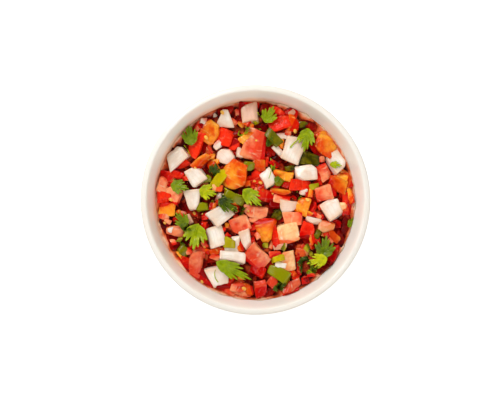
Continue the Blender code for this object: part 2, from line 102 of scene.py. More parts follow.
# Salsa, as its solid is cut
FOOD_EDGE_DROP = 0.0096
FOOD_CROWN = 0.0009
FOOD_WAVE = 0.0007
FOOD_WAVES_PER_METRE = 45.0
GAP = 0.00035
DICE_HEIGHT = 0.0085
DICE_TILT = math.radians(12)
CORNER_WANDER = 0.09
CHILLI_HEIGHT = 0.0045
CHILLI_BEND = 0.0012
FILLER_COUNT = 56
FILLER_SIZE = (0.0060, 0.0095)
FILLER_DROP = 0.0020
FILLER_SPACING = 0.0088
FILLER_REACH = 0.0450
WALL_DICE_RADIUS = 0.0500
WALL_DICE_WIDTH = 0.0080
WALL_DICE_DROP = 0.0009
SEED = 20

# Vector noise would otherwise start from the clock, and each run would give other faces.
noise.seed_set(SEED)

# What each die along the wall is, from the right and round by the back. One called under has the darkened tomato
# of those one layer down, painted shade for the dark gaps there.
WALL_DICE_KINDS = (
    "red", "orange", "pink", "orange", "under", "red", "under", "red", "under", "red", "under", "under", "red",
    "pink", "under", "under", "red", "red", "pink", "pink", "under", "red", "under", "under", "under", "under",
)

# Cuts on the dice: how far out a corner cut lies, how wide its edge is eased, and each slope's steepness, how far
# out it lies and how many dice have it.
CORNER_CUT = (0.95, 1.20)
CUT_EASE = 0.018
TOMATO_SLOPES = ((math.radians(32), 1.05, 0.85), (math.radians(50), 1.12, 0.45))
ONION_SLOPES = ((math.radians(36), 1.10, 0.60),)

# Faces of the dice: how finely they swell and are rough, how their net narrows towards an edge, and the tones that
# are drawn.
SWELLS_PER_METRE = 140.0
GRAINS_PER_METRE = 620.0
NET_NARROWING = 1.7
TONE_LEAST, TONE_REACH = 0.3, 0.5

# Scraps between the dice: how many of each kind, how far from the middle they reach, their size, how far they stand
# out of the hollow they lie in, how far round them it is felt for, how deep it may be, how many places are tried, the
# least room round what is kept clear, and how slim they are.
BIT_COUNTS = {
    "tomato_red_dice": 50, "tomato_pink_dice": 32, "tomato_orange_dice": 32, "onion_dice": 6, "chilli_pieces": 9,
}
BIT_REACH = 0.0500
BIT_SIZE = (0.0026, 0.0054)
BIT_PROUD = 0.0014
BIT_HOLLOW = 0.0016
BIT_DEPTHS = (-0.0060, -0.0008)
BIT_TRIES = 4000
BIT_CLEAR = 4.2
BIT_SLIMNESS = 0.8

# Seed chambers: how deep the knife has opened them, how steep their sides are, and how far their colour darkens,
# partly riper flesh and partly painted shade in the hollow.
HOLLOW_DEPTH = 0.0013
HOLLOW_STEEPNESS = 1.2
HOLLOW_SHADE_AND_RIPENESS = 0.55

# Juice between the dice, how high and how wide it creeps up the wall, and the heights at which it thins and ends.
JUICE_DROP = 0.0030
JUICE_SWELL = 0.0007
JUICE_SWELLS_PER_METRE = 170.0
JUICE_RIPPLE = 0.4
JUICE_RIPPLES_PER_METRE = 520.0
JUICE_RINGS = 60
JUICE_SIDES = 180
JUICE_GAP = 0.00004
JUICE_CREEP = 0.0014
JUICE_CREEP_WIDTH = 0.0010
JUICE_EDGE_PULL = 12
JUICE_THINS = (0.0410, 0.0420)
JUICE_ENDS = (0.0417, 0.0427)

# Film of juice on the wall, partly painted red bounce light from the salsa: where it starts and how far it climbs,
# the side where it is strongest, and how far across the bowl it begins and is full.
STAIN_AND_BOUNCE_EDGE = 0.0400
STAIN_AND_BOUNCE_HEIGHT = 0.0055
STAIN_AND_BOUNCE_SIDE = (-0.77, 0.64, 0.0)
STAIN_AND_BOUNCE_ACROSS = (-0.004, 0.036)

# Leaves, as their solids are drawn
LEAF_LOBES = 3
LOBE_DEPTH = 0.30
TOOTH_DEPTH = 0.12
LEAF_SPREAD = math.radians(80)
LEAF_TAPER = 0.15
LEAF_MIDDLE = Vector((0.25, 0.0, 0.0))
LEAF_BLADE = 0.00028
LEAF_EDGE_POINTS = 180
LEAF_RINGS = 8
LEAF_SLIT_DEPTH = 0.11
LEAF_PLEAT = 0.00036
LEAF_RIPPLE = 0.00045
LEAF_RIPPLES_PER_METRE = 260.0
LEAF_TOUCH = 0.0006
BITS_LIFT = 0.0003

# Bits scattered on a surface: how level it has to be, and how far they tip. Then what each kind has: how many lie
# on a square metre, the smallest and the largest, their length and height for one unit of width, and their seed.
LEVEL_ENOUGH = 0.45
BIT_TIP = 0.3
SCATTER_LABELS = ("Per square metre", "Smallest", "Largest", "Length", "Flatness", "Seed")
PULP = (60000.0, 0.00012, 0.00040, 1.5, 0.6, SEED)
SCATTERED_SEEDS = (2600.0, 0.00050, 0.00080, 1.45, 0.5, SEED + 3)

# Seeds and stalks: their size, how far round them what they lie on is felt for, and how high they lie on it.
SEED_SIZE = (0.0013, 0.0009, 0.0005)
SEED_TOUCH = 0.0004
SEED_LIFT = 0.4
SEED_TIP = 0.4
STALK_STEPS = 12
STALK_SIDES = 8
STALK_TIP = 0.55
STALK_TOUCH = 0.0008
STALK_LIFT = 0.7
STALK_TONE = 0.86
STALK_VEIN = 0.6

# Dice: x, y of the middle, length, width, turn, how much one end narrows, and how far the top stands over the
# salsa's level. A last number is a tone that is not drawn, from 0, dark, to 1, light, partly ripeness and partly
# painted shade for pieces that lie in shadow. An onion above 1 is tinted orange, partly soaked through and partly
# painted shade.
ONION_DICE = (
    (-42.6, 23.4, 13.6, 11.8, 32, 0.2, 1.4, 0), (-30.8, 12.8, 10, 8.2, -55, -0.05, 1.3, 0.1),
    (-33, 0.3, 10.8, 7.8, -82, 0.22, 1, 0), (-18.7, -8, 11.2, 9.2, 33, 0.05, 1.6, 0.1),
    (-21.3, -19.4, 10.6, 9, -79, 0, 0.8, 0.4), (-12.2, -22.8, 8.4, 7.6, 0, 0, -0.4),
    (-12.4, -30.4, 12.5, 5.8, -8, -0.1, 0.6, 0.1), (-4.7, -20.2, 11.4, 5.4, -76, 0.1, 1.2, 1),
    (-19.8, -39.6, 9.6, 10.2, -76, 0.18, 1, 0.6), (-16.2, 44, 9.4, 6.6, 84, 0.6, 0.7),
    (-2.6, 45.6, 9.8, 9.4, -80, 0, 0.6, 1.9), (-15.4, 23.2, 9.6, 7.8, -52, 0.18, 0.6, 1.1),
    (-8.8, 25.2, 5.6, 3.2, 80, 0, -0.2, 1.5), (6.2, 11.2, 8.6, 6.6, -63, 0.05, 1.3, 0.1),
    (26.2, 14.6, 11.4, 8, 4, 0.05, 1.4, 0.6), (20.4, 26.8, 14.4, 10, 72, -0.05, 1.3),
    (11.4, 26.8, 6.8, 3.2, -45, 0, -0.7), (13.6, 33.4, 6.4, 3.6, 5, 0, -1),
    (42.2, 20.2, 11.6, 8.8, -56, 0, 0.8), (40.4, -4.6, 10.4, 9.6, -60, 0, 1.7, 0.8),
    (17.6, -2.8, 9, 6, -6, 0.15, 0.8, 1.4), (30.2, -11.2, 8, 3, -12, 0.2, 0.6, 0.9),
    (13.2, -33.8, 6.2, 4.2, -8, 0, 0.9), (-35.2, -10.6, 5.4, 4, -60, 0, -0.5, 2.2),
    (-45.4, -16.2, 3.8, 3.4, 10, 0, 0.4), (12.6, -24.2, 7.4, 3, 10, 0, -0.6, 2.6),
    (18.6, 46.2, 4.4, 2.8, 35, 0, 0, 2.4),
)
TOMATO_RED = (
    (-31, 29.2, 14, 5.8, 68, 0.05, 0.9, 1), (-16, 33.6, 9.4, 8.2, 70, 0, 0.3, 1),
    (-10.4, 29.4, 6.4, 4.8, 80, 0, -0.4, 1), (12.8, 40.8, 10.6, 8.4, 15, 0, 0.5, 0.7),
    (12.4, 47.8, 9.2, 4.6, -15, 0, 0.4, 0.9), (32, 26, 8.6, 4.4, -60, 0, -0.5, 0.5),
    (24, 7.8, 12.4, 5.4, 0, 0, -0.1), (5, 2.6, 9, 6.4, -20, 0.1, 0.3, 0.45),
    (10.6, -1.4, 6.6, 6, 10, 0, -0.4, 0.1), (-49, 1.4, 8, 6.6, -10, 0, 0.4, 1),
    (-47.8, -11.4, 7, 3, -65, 0, -0.6, 0.1), (-15.8, -45.6, 10.4, 4.8, -12, 0, -0.2, 0.1),
    (10, -19.4, 12.4, 5, -75, 0, -0.2), (1, -36.6, 10.6, 6.4, -30, 0, -0.3, 0.1),
    (41.8, -28, 12.4, 4.6, 62, 0, 0.1, 0), (22.2, -34.4, 11.4, 3.4, 92, 0, -0.2, 0),
    (47.4, -5.2, 8.4, 4.6, -80, 0, -0.2), (42.4, -12.4, 5.6, 5, -30, 0, -0.3, 0),
    (33, 13.2, 5.6, 4.4, 70, 0, -0.8, 0.1), (-39.4, 18.8, 9.4, 5.6, 40, 0, -1),
    (-41.6, 13.2, 8.4, 5, -5, 0, -0.6), (1.2, 14, 6, 6.4, -50, 0, -0.8), (6.2, -11.8, 10, 4.4, 0, 0, 0.2),
    (30.6, -3.2, 6.4, 4.4, 80, 0, -0.6, 0.9), (27.4, -16.6, 9.4, 7.8, 70, 0, 0.5, 1),
    (28, 3.2, 6.4, 4.4, -80, 0, -0.2), (47, 4.8, 8.4, 4.2, 80, 0, -0.7),
)
TOMATO_PINK = (
    (-0.5, 29.4, 15, 12.4, 75, 0.15, 1.9, 0.45), (-49.6, 7.8, 9, 7.8, 60, 0, 0.6, 1),
    (-43.8, 3.2, 9.2, 7.8, -30, 0, 0.5, 0.9), (-42.2, -16.8, 9.8, 6.2, 10, 0, 0.4, 0.3),
    (-31.4, -34.2, 15, 8, 82, 0, 0.8, 0.15), (-7.6, -46.2, 10.4, 5.8, -15, 0, 0.2),
    (2.6, -46.2, 8.8, 6.8, -80, 0, 0.5, 0.1), (0.6, -30.2, 12.6, 10.6, -40, 0.1, 1.3, 0.3),
    (20, -9.2, 9.8, 6.2, 0, 0, 0.8, 0.8), (36.2, 3.6, 9, 8, 14, 0, 1.4, 0.6),
    (36.2, 15.2, 8.8, 6.2, -62, 0, 0.5, 0.6), (14.6, 1.2, 9.4, 4.8, -10, 0, 0.2, 0.9),
    (18.8, -45.8, 10.4, 6, 20, 0, 0.1, 0), (10.4, -28.6, 6, 4.4, 10, 0, 0.1),
    (-8.2, -12, 10.4, 8, 25, 0, 0.7, 0.4), (-0.6, -5.8, 12.2, 6.2, -10, 0, 0.5, 0.6),
    (9, -43.6, 6, 5.4, -50, 0, 0.1, 0), (-29.8, -27.4, 7, 5.4, 90, 0, -0.3, 0),
)
TOMATO_ORANGE = (
    (-24, 35.6, 12.2, 10, 60, 0.1, 1.2, 0.55), (-28.6, 20.4, 10.4, 4.8, 42, 0.1, 1.6, 0.3),
    (-11, 13.4, 14.2, 12.2, 70, 0.22, 1.6), (2.2, 18.2, 6.8, 5.2, -5, 0, 0.5, 0.2),
    (-4.8, 33.8, 9.6, 4.2, 38, 0, 1.1, 1), (-46.8, -5, 10, 6.8, -5, 0, 0.3, 1),
    (5.4, -16.8, 11.6, 8, -88, 0.6, 1.1, 0.5), (37.2, 28.6, 11.2, 9.6, -35, 0, 1.6, 0.5),
    (43, 8, 9.6, 7.2, -20, 0, 0.8, 0.3), (45.4, 12.6, 8.4, 4.4, -10, 0, 0.6, 0.8),
    (20.6, 40, 8.8, 6.4, 80, 0, 0.3, 0.8), (14.8, 13.2, 9.8, 5.8, -8, 0, 0.1, 1),
    (17.2, 8.4, 6.4, 4.4, -30, 0, -0.3, 0), (13.4, 4.9, 10.4, 3, -3, 0, 0.4, 0.3),
    (50.6, 1.8, 9.2, 4, -82, 0, 0.6, 0.8), (26, -3.2, 9.4, 7.2, 70, 0.15, 0.6, 0.9),
    (41.6, -19.2, 8, 4.4, -40, 0, -0.4, 0), (-21, -26.4, 8.4, 4, 25, 0, -0.6, 0.1),
    (-3.2, -48, 7.4, 4.4, -80, 0, 0, 0.2), (-22.4, 17.6, 7.4, 5.4, -60, 0, -0.2, 0),
    (13.8, 29.8, 5.6, 3.6, 80, 0, -0.6, 1), (-8.4, -24.2, 6.4, 3.6, -80, 0, -0.4),
)
TOMATO_PALE = (
    (17.8, -17.4, 11.4, 10, 15, 0, 1.5, 1), (17.6, -32, 11.2, 6.8, -85, 0, 0.8, 0.3),
    (36.8, -13.4, 8.4, 5.4, -8, 0, 0.6, 0), (45.6, -4, 5.4, 5, 0, 0.2, 0.7),
    (25.6, -27.4, 7, 4.2, -10, 0, -0.8, 0), (-19.8, 6.2, 6.6, 4, 0, 0, -0.2, 0.9),
)
CHILLI_PIECES = (
    (9.3, 32.5, 10.6, 4.8, -50, 0, 0.8, 0.32), (28.4, 22, 11.6, 6.2, -12, 0.2, 0.5, 0.05),
    (-3.4, 18, 6.8, 4.8, -5, 0, 0.9, 0.5), (-19, 11.4, 10.8, 5.2, 52, 0, 0.5, 0.95),
    (-28, -3.6, 6.4, 4.4, 10, 0, 0.3, 0.6), (-13.6, -22.2, 7, 5.4, -15, 0.3, 0.8, 0.8),
    (12.2, -38.4, 12.2, 6.8, -28, 0, 0.7, 0.6), (12, -30.8, 7.2, 3.4, 20, 0, 1.5, 0.95),
    (-38.2, -26.6, 6.8, 5, -40, 0, -0.2, 0.35), (-11, 1.3, 12.2, 4.4, -25, 0, 0.4, 0.5),
    (11.8, -7.2, 6.4, 5, 60, 0, -1.3, 0.02), (24.6, 40, 6.8, 3.6, -5, 0, -0.8, 0.05),
    (18.4, 17.2, 5.6, 3, 10, 0, -1.3, 0.05), (32.8, -18.4, 5.8, 3, 65, 0, -0.4, 0.3),
    (12, 9.6, 4.6, 4.2, -40, 0, 0.7, 0.42),
)

# Leaves that have a solid: x, y of the middle, length, width, turn from stalk to tip, and how bright the green is.
CORIANDER_LEAVES = (
    # The third leaf, at -25, 4.2, is pale partly as a painted sheen.
    (-34.6, 34.6, 12, 9, 100, 0.5), (-39.8, 7, 10, 8, -14, 0.56), (-25, 4.2, 9.6, 8.6, -15, 0.92),
    (-14.4, -2.8, 12, 8, -32, 0.22), (-1.6, 1.2, 13, 9, -42, 0.8), (-39, -10.2, 9.4, 8, 130, 0.5),
    (-31.6, -19.4, 14, 13, -98, 0.8), (-11.4, -37.2, 21, 9, -27, 0.66), (36.6, -24.6, 12, 11, 82, 0.42),
    (32.4, -32, 11, 8, 195, 0.98), (7.4, 45.2, 9.8, 9, 62, 0.72), (26.6, 31.6, 13, 9.6, -100, 0.68),
)

# Smaller bits of leaf, the same way, that lie on the dice.
CORIANDER_BITS = (
    (-21.5, 16.5, 8, 6.5, 60, 0.08), (25.5, -34, 9.6, 7.4, -110, 0.1), (1.6, 40, 7, 4.6, 150, 0.9),
    (42.4, 18.6, 6.6, 4, -6, 0.85), (22.6, 2.5, 5.4, 4.6, 10, 0.6), (-5.6, 37, 9, 4.4, 35, 0.72),
    (13, -45.6, 8.4, 4.6, 25, 0.22), (30.4, -36.6, 8, 4.6, 30, 0.45), (50.4, -11.6, 6, 3.4, 65, 0.55),
    (11.8, 10.6, 4.4, 3.6, -30, 0.4), (-38, -22, 6, 4, -50, 0.3), (9.2, 18.6, 6.4, 2.6, 100, 0.55),
    # The first two bits on the next line are the darkest green: painted shade among the leaves.
    (-17.4, -0.6, 8.4, 6.4, -60, 0.02), (-8, -5.2, 7.4, 5.4, 20, 0.06), (-36.4, -14.6, 7, 5, -30, 0.3),
    (7.6, 31, 6, 3.6, 60, 0.3),
)

# Seeds that show, by the middle of each.
TOMATO_SEEDS = (
    (-17.5, 46.3), (-3.4, 10.6), (-9.2, 39), (-29.4, -9), (-6, -46.6), (27.4, 0.2), (18, 36), (21, 36.4),
    (-44.6, 0.4), (-26, 33),
)

# Pieces with a few faces cut as listed, by their middle: each face is a plane's lean towards x and y, and how far
# out it lies.
RIDGED = {
    (-0.5, 29.4): ((0.05, 0.42, 0.86), (0.1, -0.34, 0.84), (-0.62, 0.05, 1.02)),
    (37.2, 28.6): ((0.38, 0.2, 0.92), (-0.42, 0.1, 0.94)),
    (0.6, -30.2): ((0.4, 0.1, 0.92), (-0.3, -0.34, 0.94)), (17.8, -17.4): ((0.05, -0.4, 0.96),),
    (36.2, 3.6): ((-0.1, -0.46, 1),),
}

# Hollows and low pieces that no scrap covers
KEPT_CLEAR = (
    (11.8, -7.2), (18.4, 17.2), (24.6, 40), (-2.6, 45.6), (33, 13.2), (-42.6, 23.4), (11.4, 26.8), (-22, 16.5),
    (14, -33), (24.5, -35), (-17.5, -5), (19, -24.5), (33, -34), (-40, 17),
)

# Which way the flesh lies from the skin, in the piece's own directions, where the photograph shows it.
FLESH_SIDES = {
    (-0.5, 29.4): (0.1, 1.1, -0.1), (-24, 35.6): (0.6, -0.6, 0.3), (5.4, -16.8): (1.3, 0.2, 0.1),
    (-11, 13.4): (-0.7, 0.5, 0.2), (37.2, 28.6): (0.2, 0.9, 0.2), (-31, 29.2): (0.1, 0.3, 1),
    (-16, 33.6): (-0.3, 0.4, 0.6), (12.8, 40.8): (0.3, -0.3, 0.3), (25.6, -27.4): (0, 0.1, -1),
    (-31.4, -34.2): (1.1, 0.1, 0.1), (-42.2, -16.8): (0.2, 0.3, 0.8), (0.6, -30.2): (0.1, 1.2, 0),
    (-49, 1.4): (0.2, 0.2, 1), (-0.6, -5.8): (0.4, 0.2, 0.5), (-8.2, -12): (0.5, 0.3, 0.4),
    (17.2, 8.4): (0, 0.1, -1), (10.6, -1.4): (0.1, 0.1, -1), (-47.8, -11.4): (0.1, 0.1, -1),
    (-15.8, -45.6): (0.2, 0.1, -0.9),
}

# Seed chambers that the knife has opened, by the piece: how far along and across it each lies, from -1 to 1, and
# how far it reaches.
HOLLOWS = {
    (-24, 35.6): ((0.1, -0.25, 0.42), (-0.3, 0.05, 0.3)),
    (-11, 13.4): ((-0.45, 0.35, 0.34), (0.25, -0.5, 0.34), (0.35, 0.4, 0.26)),
    (-0.5, 29.4): ((-0.3, 0.3, 0.36), (0.45, -0.05, 0.26)), (0.6, -30.2): ((-0.2, -0.1, 0.3),),
    (37.2, 28.6): ((0, 0.05, 0.36),), (-0.6, -5.8): ((-0.45, 0, 0.36), (0.35, 0.1, 0.36)),
    (-8.2, -12): ((-0.2, 0.3, 0.36), (0.35, -0.35, 0.34)), (-7.6, -46.2): ((-0.1, 0, 0.4),),
    (-43.8, 3.2): ((0.1, -0.2, 0.36),), (-49.6, 7.8): ((0.2, 0.2, 0.3),), (26, -3.2): ((0, -0.2, 0.4),),
    (43, 8): ((-0.3, 0.2, 0.34),), (14.8, 13.2): ((-0.2, 0.1, 0.34),),
}

# Stalks: where each starts, a point it bends over, and where it ends, with its thickness.
STALKS = (
    (1.2, 46.4, 3, 43.6, 6.4, 41.8, 0.7), (8, 22.4, 9.4, 17, 7, 11.4, 0.6),
    (18.4, 27.6, 20.6, 31.4, 26, 33.4, 0.8), (-37.6, 29, -35.6, 26.6, -34.4, 23.4, 0.6),
    (-30.2, -12.6, -31.4, -15, -31.6, -18.6, 0.8), (-16.4, 6.4, -12.6, 3.6, -6.6, 2.2, 0.7),
    (-7.4, -0.8, -10.4, -4.6, -15.4, -5.8, 0.6), (30.2, -38.4, 27, -36.6, 24.2, -33, 0.9),
    (-19.6, -43.2, -22.4, -40.2, -21, -36.6, 0.6), (13, 12, 10.4, 9, 7, 6.8, 0.5),
)

# Display colours of each tomato's skin, flesh, heart and pale fibre, which is partly a painted sheen, and how
# strongly it mirrors the room.
TOMATO_COLOURS = {
    "red": ((148, 0, 0), (206, 4, 0), (244, 50, 20), (252, 116, 72), 0.14),
    "pink": ((214, 20, 10), (240, 74, 40), (255, 158, 108), (255, 214, 174), 0.22),
    "orange": ((206, 24, 0), (232, 76, 4), (255, 166, 44), (255, 216, 120), 0.22),
    "pale": ((236, 92, 36), (250, 154, 90), (255, 208, 150), (255, 236, 206), 0.22),
    # The last colours are painted shade: tomato darkened for the dice one layer down and for the gaps along the wall.
    "painted_shade": ((64, 0, 0), (104, 0, 0), (156, 10, 0), (200, 58, 12), 0.10),
}


def srgb(red, green, blue):
    """A display colour of 0 to 255 a channel as the linear colour that a material takes."""
    channels = [c / 255 for c in (red, green, blue)]
    linear = [c / 12.92 if c <= 0.04045 else ((c + 0.055) / 1.055) ** 2.4 for c in channels]
    return (*linear, 1.0)


# Shapes


def bezier(points, steps):
    """Points along the cubic curve whose four control points are given, both ends included."""
    a, b, c, d = (np.array(p, float) for p in points)
    t = np.linspace(0.0, 1.0, steps + 1)[:, None]
    return a * (1 - t) ** 3 + 3 * b * t * (1 - t) ** 2 + 3 * c * t * t * (1 - t) + d * t**3


def polar(radius, angle):
    return radius * math.cos(angle), radius * math.sin(angle)


def outer_wall(steps):
    low, high = (FOOT_RADIUS, FOOT_HEIGHT), (RIM_RADIUS, RIM_HEIGHT - WALL / 2)
    return bezier((low, WALL_PULL_LOW, WALL_PULL_HIGH, high), steps)


def inner_wall(steps):
    outer = outer_wall(steps)
    along = np.gradient(outer, axis=0)
    along /= np.linalg.norm(along, axis=1)[:, None]
    inwards = np.stack([-along[:, 1], along[:, 0]], axis=1)
    thickness = WALL + (LIP_WIDTH - WALL) * np.linspace(0.0, 1.0, steps + 1) ** LIP_FLARE
    return outer + inwards * thickness[:, None]


INNER_WALL = inner_wall(WALL_STEPS)
SMOOTH_INNER_WALL = inner_wall(SMOOTH_WALL_STEPS)


def radius_at(wall, height):
    return np.interp(height, wall[:, 1], wall[:, 0])


def food_level(x, y):
    """The height of the salsa's surface, without its dice."""
    crown = FOOD_CROWN * (1.0 - (math.hypot(x, y) / RIM_RADIUS) ** 2)
    place = Vector((x, y, SEED * MM)) * FOOD_WAVES_PER_METRE
    return RIM_HEIGHT - FOOD_EDGE_DROP + crown + FOOD_WAVE * noise.noise(place)


def kept_inside(points, gap=GAP):
    """The points, each moved towards the axis if it is closer than the gap to the bowl's wall."""
    points = np.array(points, float)
    radius = np.hypot(points[:, 0], points[:, 1])
    room = radius_at(INNER_WALL, points[:, 2]) - gap
    points[:, :2] *= np.minimum(1.0, room / np.maximum(radius, 1e-6))[:, None]
    return points


def wander(points, per_metre, amount, salt):
    """Moves each point by smooth noise."""
    shift = Vector((salt, -salt, salt * 0.5))
    moved = [noise.noise_vector(Vector(p) * per_metre + shift) for p in points]
    return points + amount * np.array([tuple(m) for m in moved])


def link(name, data):
    """A mesh, light or camera as an object of the scene."""
    made = bpy.data.objects.new(name, data)
    bpy.context.scene.collection.objects.link(made)
    return made


def mesh_of(name, points, edges=(), faces=()):
    mesh = bpy.data.meshes.new(name)
    mesh.from_pydata([tuple(p) for p in points], edges, faces)
    return mesh


def keep_value(mesh, label, data):
    """Keeps a number or a vector for each point of a mesh, under this name."""
    data = np.asarray(data, float)
    kind, field = ("FLOAT_VECTOR", "vector") if data.ndim == 2 else ("FLOAT", "value")
    mesh.attributes.new(label, kind, "POINT").data.foreach_set(field, data.ravel())


def finished(name, mesh, material):
    """A smooth mesh of one material as an object at the origin."""
    mesh.name = name
    mesh.materials.clear()
    mesh.materials.append(material)
    mesh.polygons.foreach_set("use_smooth", [True] * len(mesh.polygons))
    mesh.validate()
    mesh.update()
    return link(name, mesh)


def piece(name, material, points, faces, **values):
    """An object of these points and faces that keeps the values on its points."""
    mesh = mesh_of(name, points, faces=faces)
    for label, data in values.items():
        keep_value(mesh, label, data)
    return finished(name, mesh, material)


def joined(parts):
    """Several shapes, each a dict of points, faces and values, as one."""
    faces, first = [], 0
    for part in parts:
        faces += [[i + first for i in face] for face in part["faces"]]
        first += len(part["points"])
    labels = [label for label in parts[0] if label != "faces"]
    return {"faces": faces, **{label: np.concatenate([p[label] for p in parts]) for label in labels}}


def net_faces(rings, sides, last=None):
    """The faces of a net that goes ring by ring round point 0, and ends in the last point if it has one."""
    faces = []
    for step in range(sides):
        after = (step + 1) % sides
        faces.append((0, 1 + step, 1 + after))
        for first in range(1, (rings - 1) * sides, sides):
            second = first + sides
            faces.append((first + step, second + step, second + after, first + after))
        if last:
            outer = 1 + (rings - 1) * sides
            faces.append((outer + step, last, outer + after))
    return faces


def facing_out(made):
    """Turns every face of a closed piece outwards."""
    bm = bmesh.new()
    bm.from_mesh(made.data)
    bmesh.ops.recalc_face_normals(bm, faces=bm.faces)
    if bm.calc_volume(signed=True) < 0:
        bmesh.ops.reverse_faces(bm, faces=bm.faces)
    bm.to_mesh(made.data)
    bm.free()
    return made


def tree_of(*meshes):
    """A search tree over several meshes."""
    points, faces, first = [], [], 0
    for mesh in meshes:
        points += [v.co.copy() for v in mesh.vertices]
        faces += [[i + first for i in p.vertices] for p in mesh.polygons]
        first = len(points)
    return BVHTree.FromPolygons(points, faces)


def height_on(tree, spot, reach):
    """The height of what lies under a spot: the mean of rays straight down on it and around it."""
    found = []
    for dx, dy in ((0, 0), (1, 0), (-1, 0), (0, 1), (0, -1)):
        start = Vector((spot[0] + dx * reach, spot[1] + dy * reach, RIM_HEIGHT * 2))
        hit = tree.ray_cast(start, Vector((0, 0, -1)))[0]
        if hit:
            found.append(hit.z)
    return sum(found) / len(found) if found else tree.find_nearest(Vector(tuple(spot)))[0].z


FOOD = tree_of(*(node.data for name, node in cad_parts.items() if name != "bowl"))


def hand_over(made, node="salsa"):
    """Rides the piece on the one body, and hides the solid it stands for."""
    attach(made, "root")
    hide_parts(node)


# Nodes

NUMBER, COUNT, COLOUR = "NodeSocketFloat", "NodeSocketInt", "NodeSocketColor"
VECTOR, GEOMETRY = "NodeSocketVector", "NodeSocketGeometry"


def feed(tree, node, inputs):
    """Gives each input of a node a value or the socket that feeds it."""
    for socket, value in dict(inputs).items():
        if isinstance(value, bpy.types.NodeSocket):
            tree.links.new(value, node.inputs[socket])
        else:
            node.inputs[socket].default_value = value


def add(tree, kind, inputs=(), **settings):
    """What a new node gives, with its settings and inputs. A kind without a prefix is a shader node."""
    node = tree.nodes.new(kind if "Node" in kind else "ShaderNode" + kind)
    for name, value in settings.items():
        setattr(node, name, value)
    feed(tree, node, inputs)
    return node.outputs


def new_tree(name, kind, inputs, outputs):
    """An empty node tree with its named sockets, what its inputs give, and the node that takes its outputs."""
    tree = bpy.data.node_groups.new(name, kind)
    for way, sockets in (("INPUT", inputs), ("OUTPUT", outputs)):
        for label, socket in sockets.items():
            tree.interface.new_socket(label, in_out=way, socket_type=socket)
    return tree, tree.nodes.new("NodeGroupInput").outputs, tree.nodes.new("NodeGroupOutput")


def calc(tree, operation, *values):
    return add(tree, "Math", enumerate(values), operation=operation)[0]


def plus(tree, base, value, times):
    """The base and so many times the value."""
    return calc(tree, "MULTIPLY_ADD", value, times, base)


def spread(tree, value, low, high, to_low=0.0, to_high=1.0):
    """The value between low and high, eased onto another range."""
    inputs = {"Value": value, "From Min": low, "From Max": high, "To Min": to_low, "To Max": to_high}
    return add(tree, "MapRange", inputs, interpolation_type="SMOOTHSTEP")["Result"]


def colour_of(given):
    """A display colour as a linear one, and a socket as it is."""
    return srgb(*given) if isinstance(given, tuple) else given


def blend(tree, factor, first, second):
    inputs = {0: factor, 6: colour_of(first), 7: colour_of(second)}
    return add(tree, "Mix", inputs, data_type="RGBA")[2]


def layered(tree, base, *layers):
    """Colours laid on a base in turn, each by its share where a mask goes from low to high."""
    for mask, low, high, share, colour in layers:
        base = blend(tree, spread(tree, mask, low, high, 0.0, share), base, colour)
    return base


def grain(tree, position, per_metre, detail=2.0, rough=0.5):
    inputs = {"Vector": position, "Scale": per_metre, "Detail": detail, "Roughness": rough}
    return add(tree, "TexNoise", inputs)["Fac"]


def ramp(tree, factor, *stops):
    """A colour ramp through these stops, each a place and its display colour."""
    node = tree.nodes.new("ShaderNodeValToRGB")
    feed(tree, node, {"Fac": factor})
    elements = node.color_ramp.elements
    while len(elements) < len(stops):
        elements.new(1.0)
    for element, (place, colour) in zip(elements, stops):
        element.position = place
        element.color = srgb(*colour)
    return node.outputs["Color"]


def attribute(tree, name, output="Fac"):
    return add(tree, "Attribute", attribute_name=name)[output]


def height_of(tree, position):
    return add(tree, "SeparateXYZ", {0: position})["Z"]


# Materials


def wet_film_group():
    """Juice that clings in patches: glossier where it lies, and a fine unevenness for its highlights."""
    inputs = {
        "Position": VECTOR, "Patches per metre": NUMBER, "Grain per metre": NUMBER, "Wet roughness": NUMBER,
        "Dry roughness": NUMBER,
    }
    tree, get, end = new_tree("wet film", "ShaderNodeTree", inputs, {"Roughness": NUMBER, "Height": NUMBER})
    patches = grain(tree, get["Position"], get["Patches per metre"], 3.0)
    fine = grain(tree, get["Position"], get["Grain per metre"])
    rough = spread(tree, patches, 0.40, 0.62, get["Wet roughness"], get["Dry roughness"])
    feed(tree, end, {"Roughness": rough, "Height": plus(tree, patches, fine, 0.35)})
    return tree


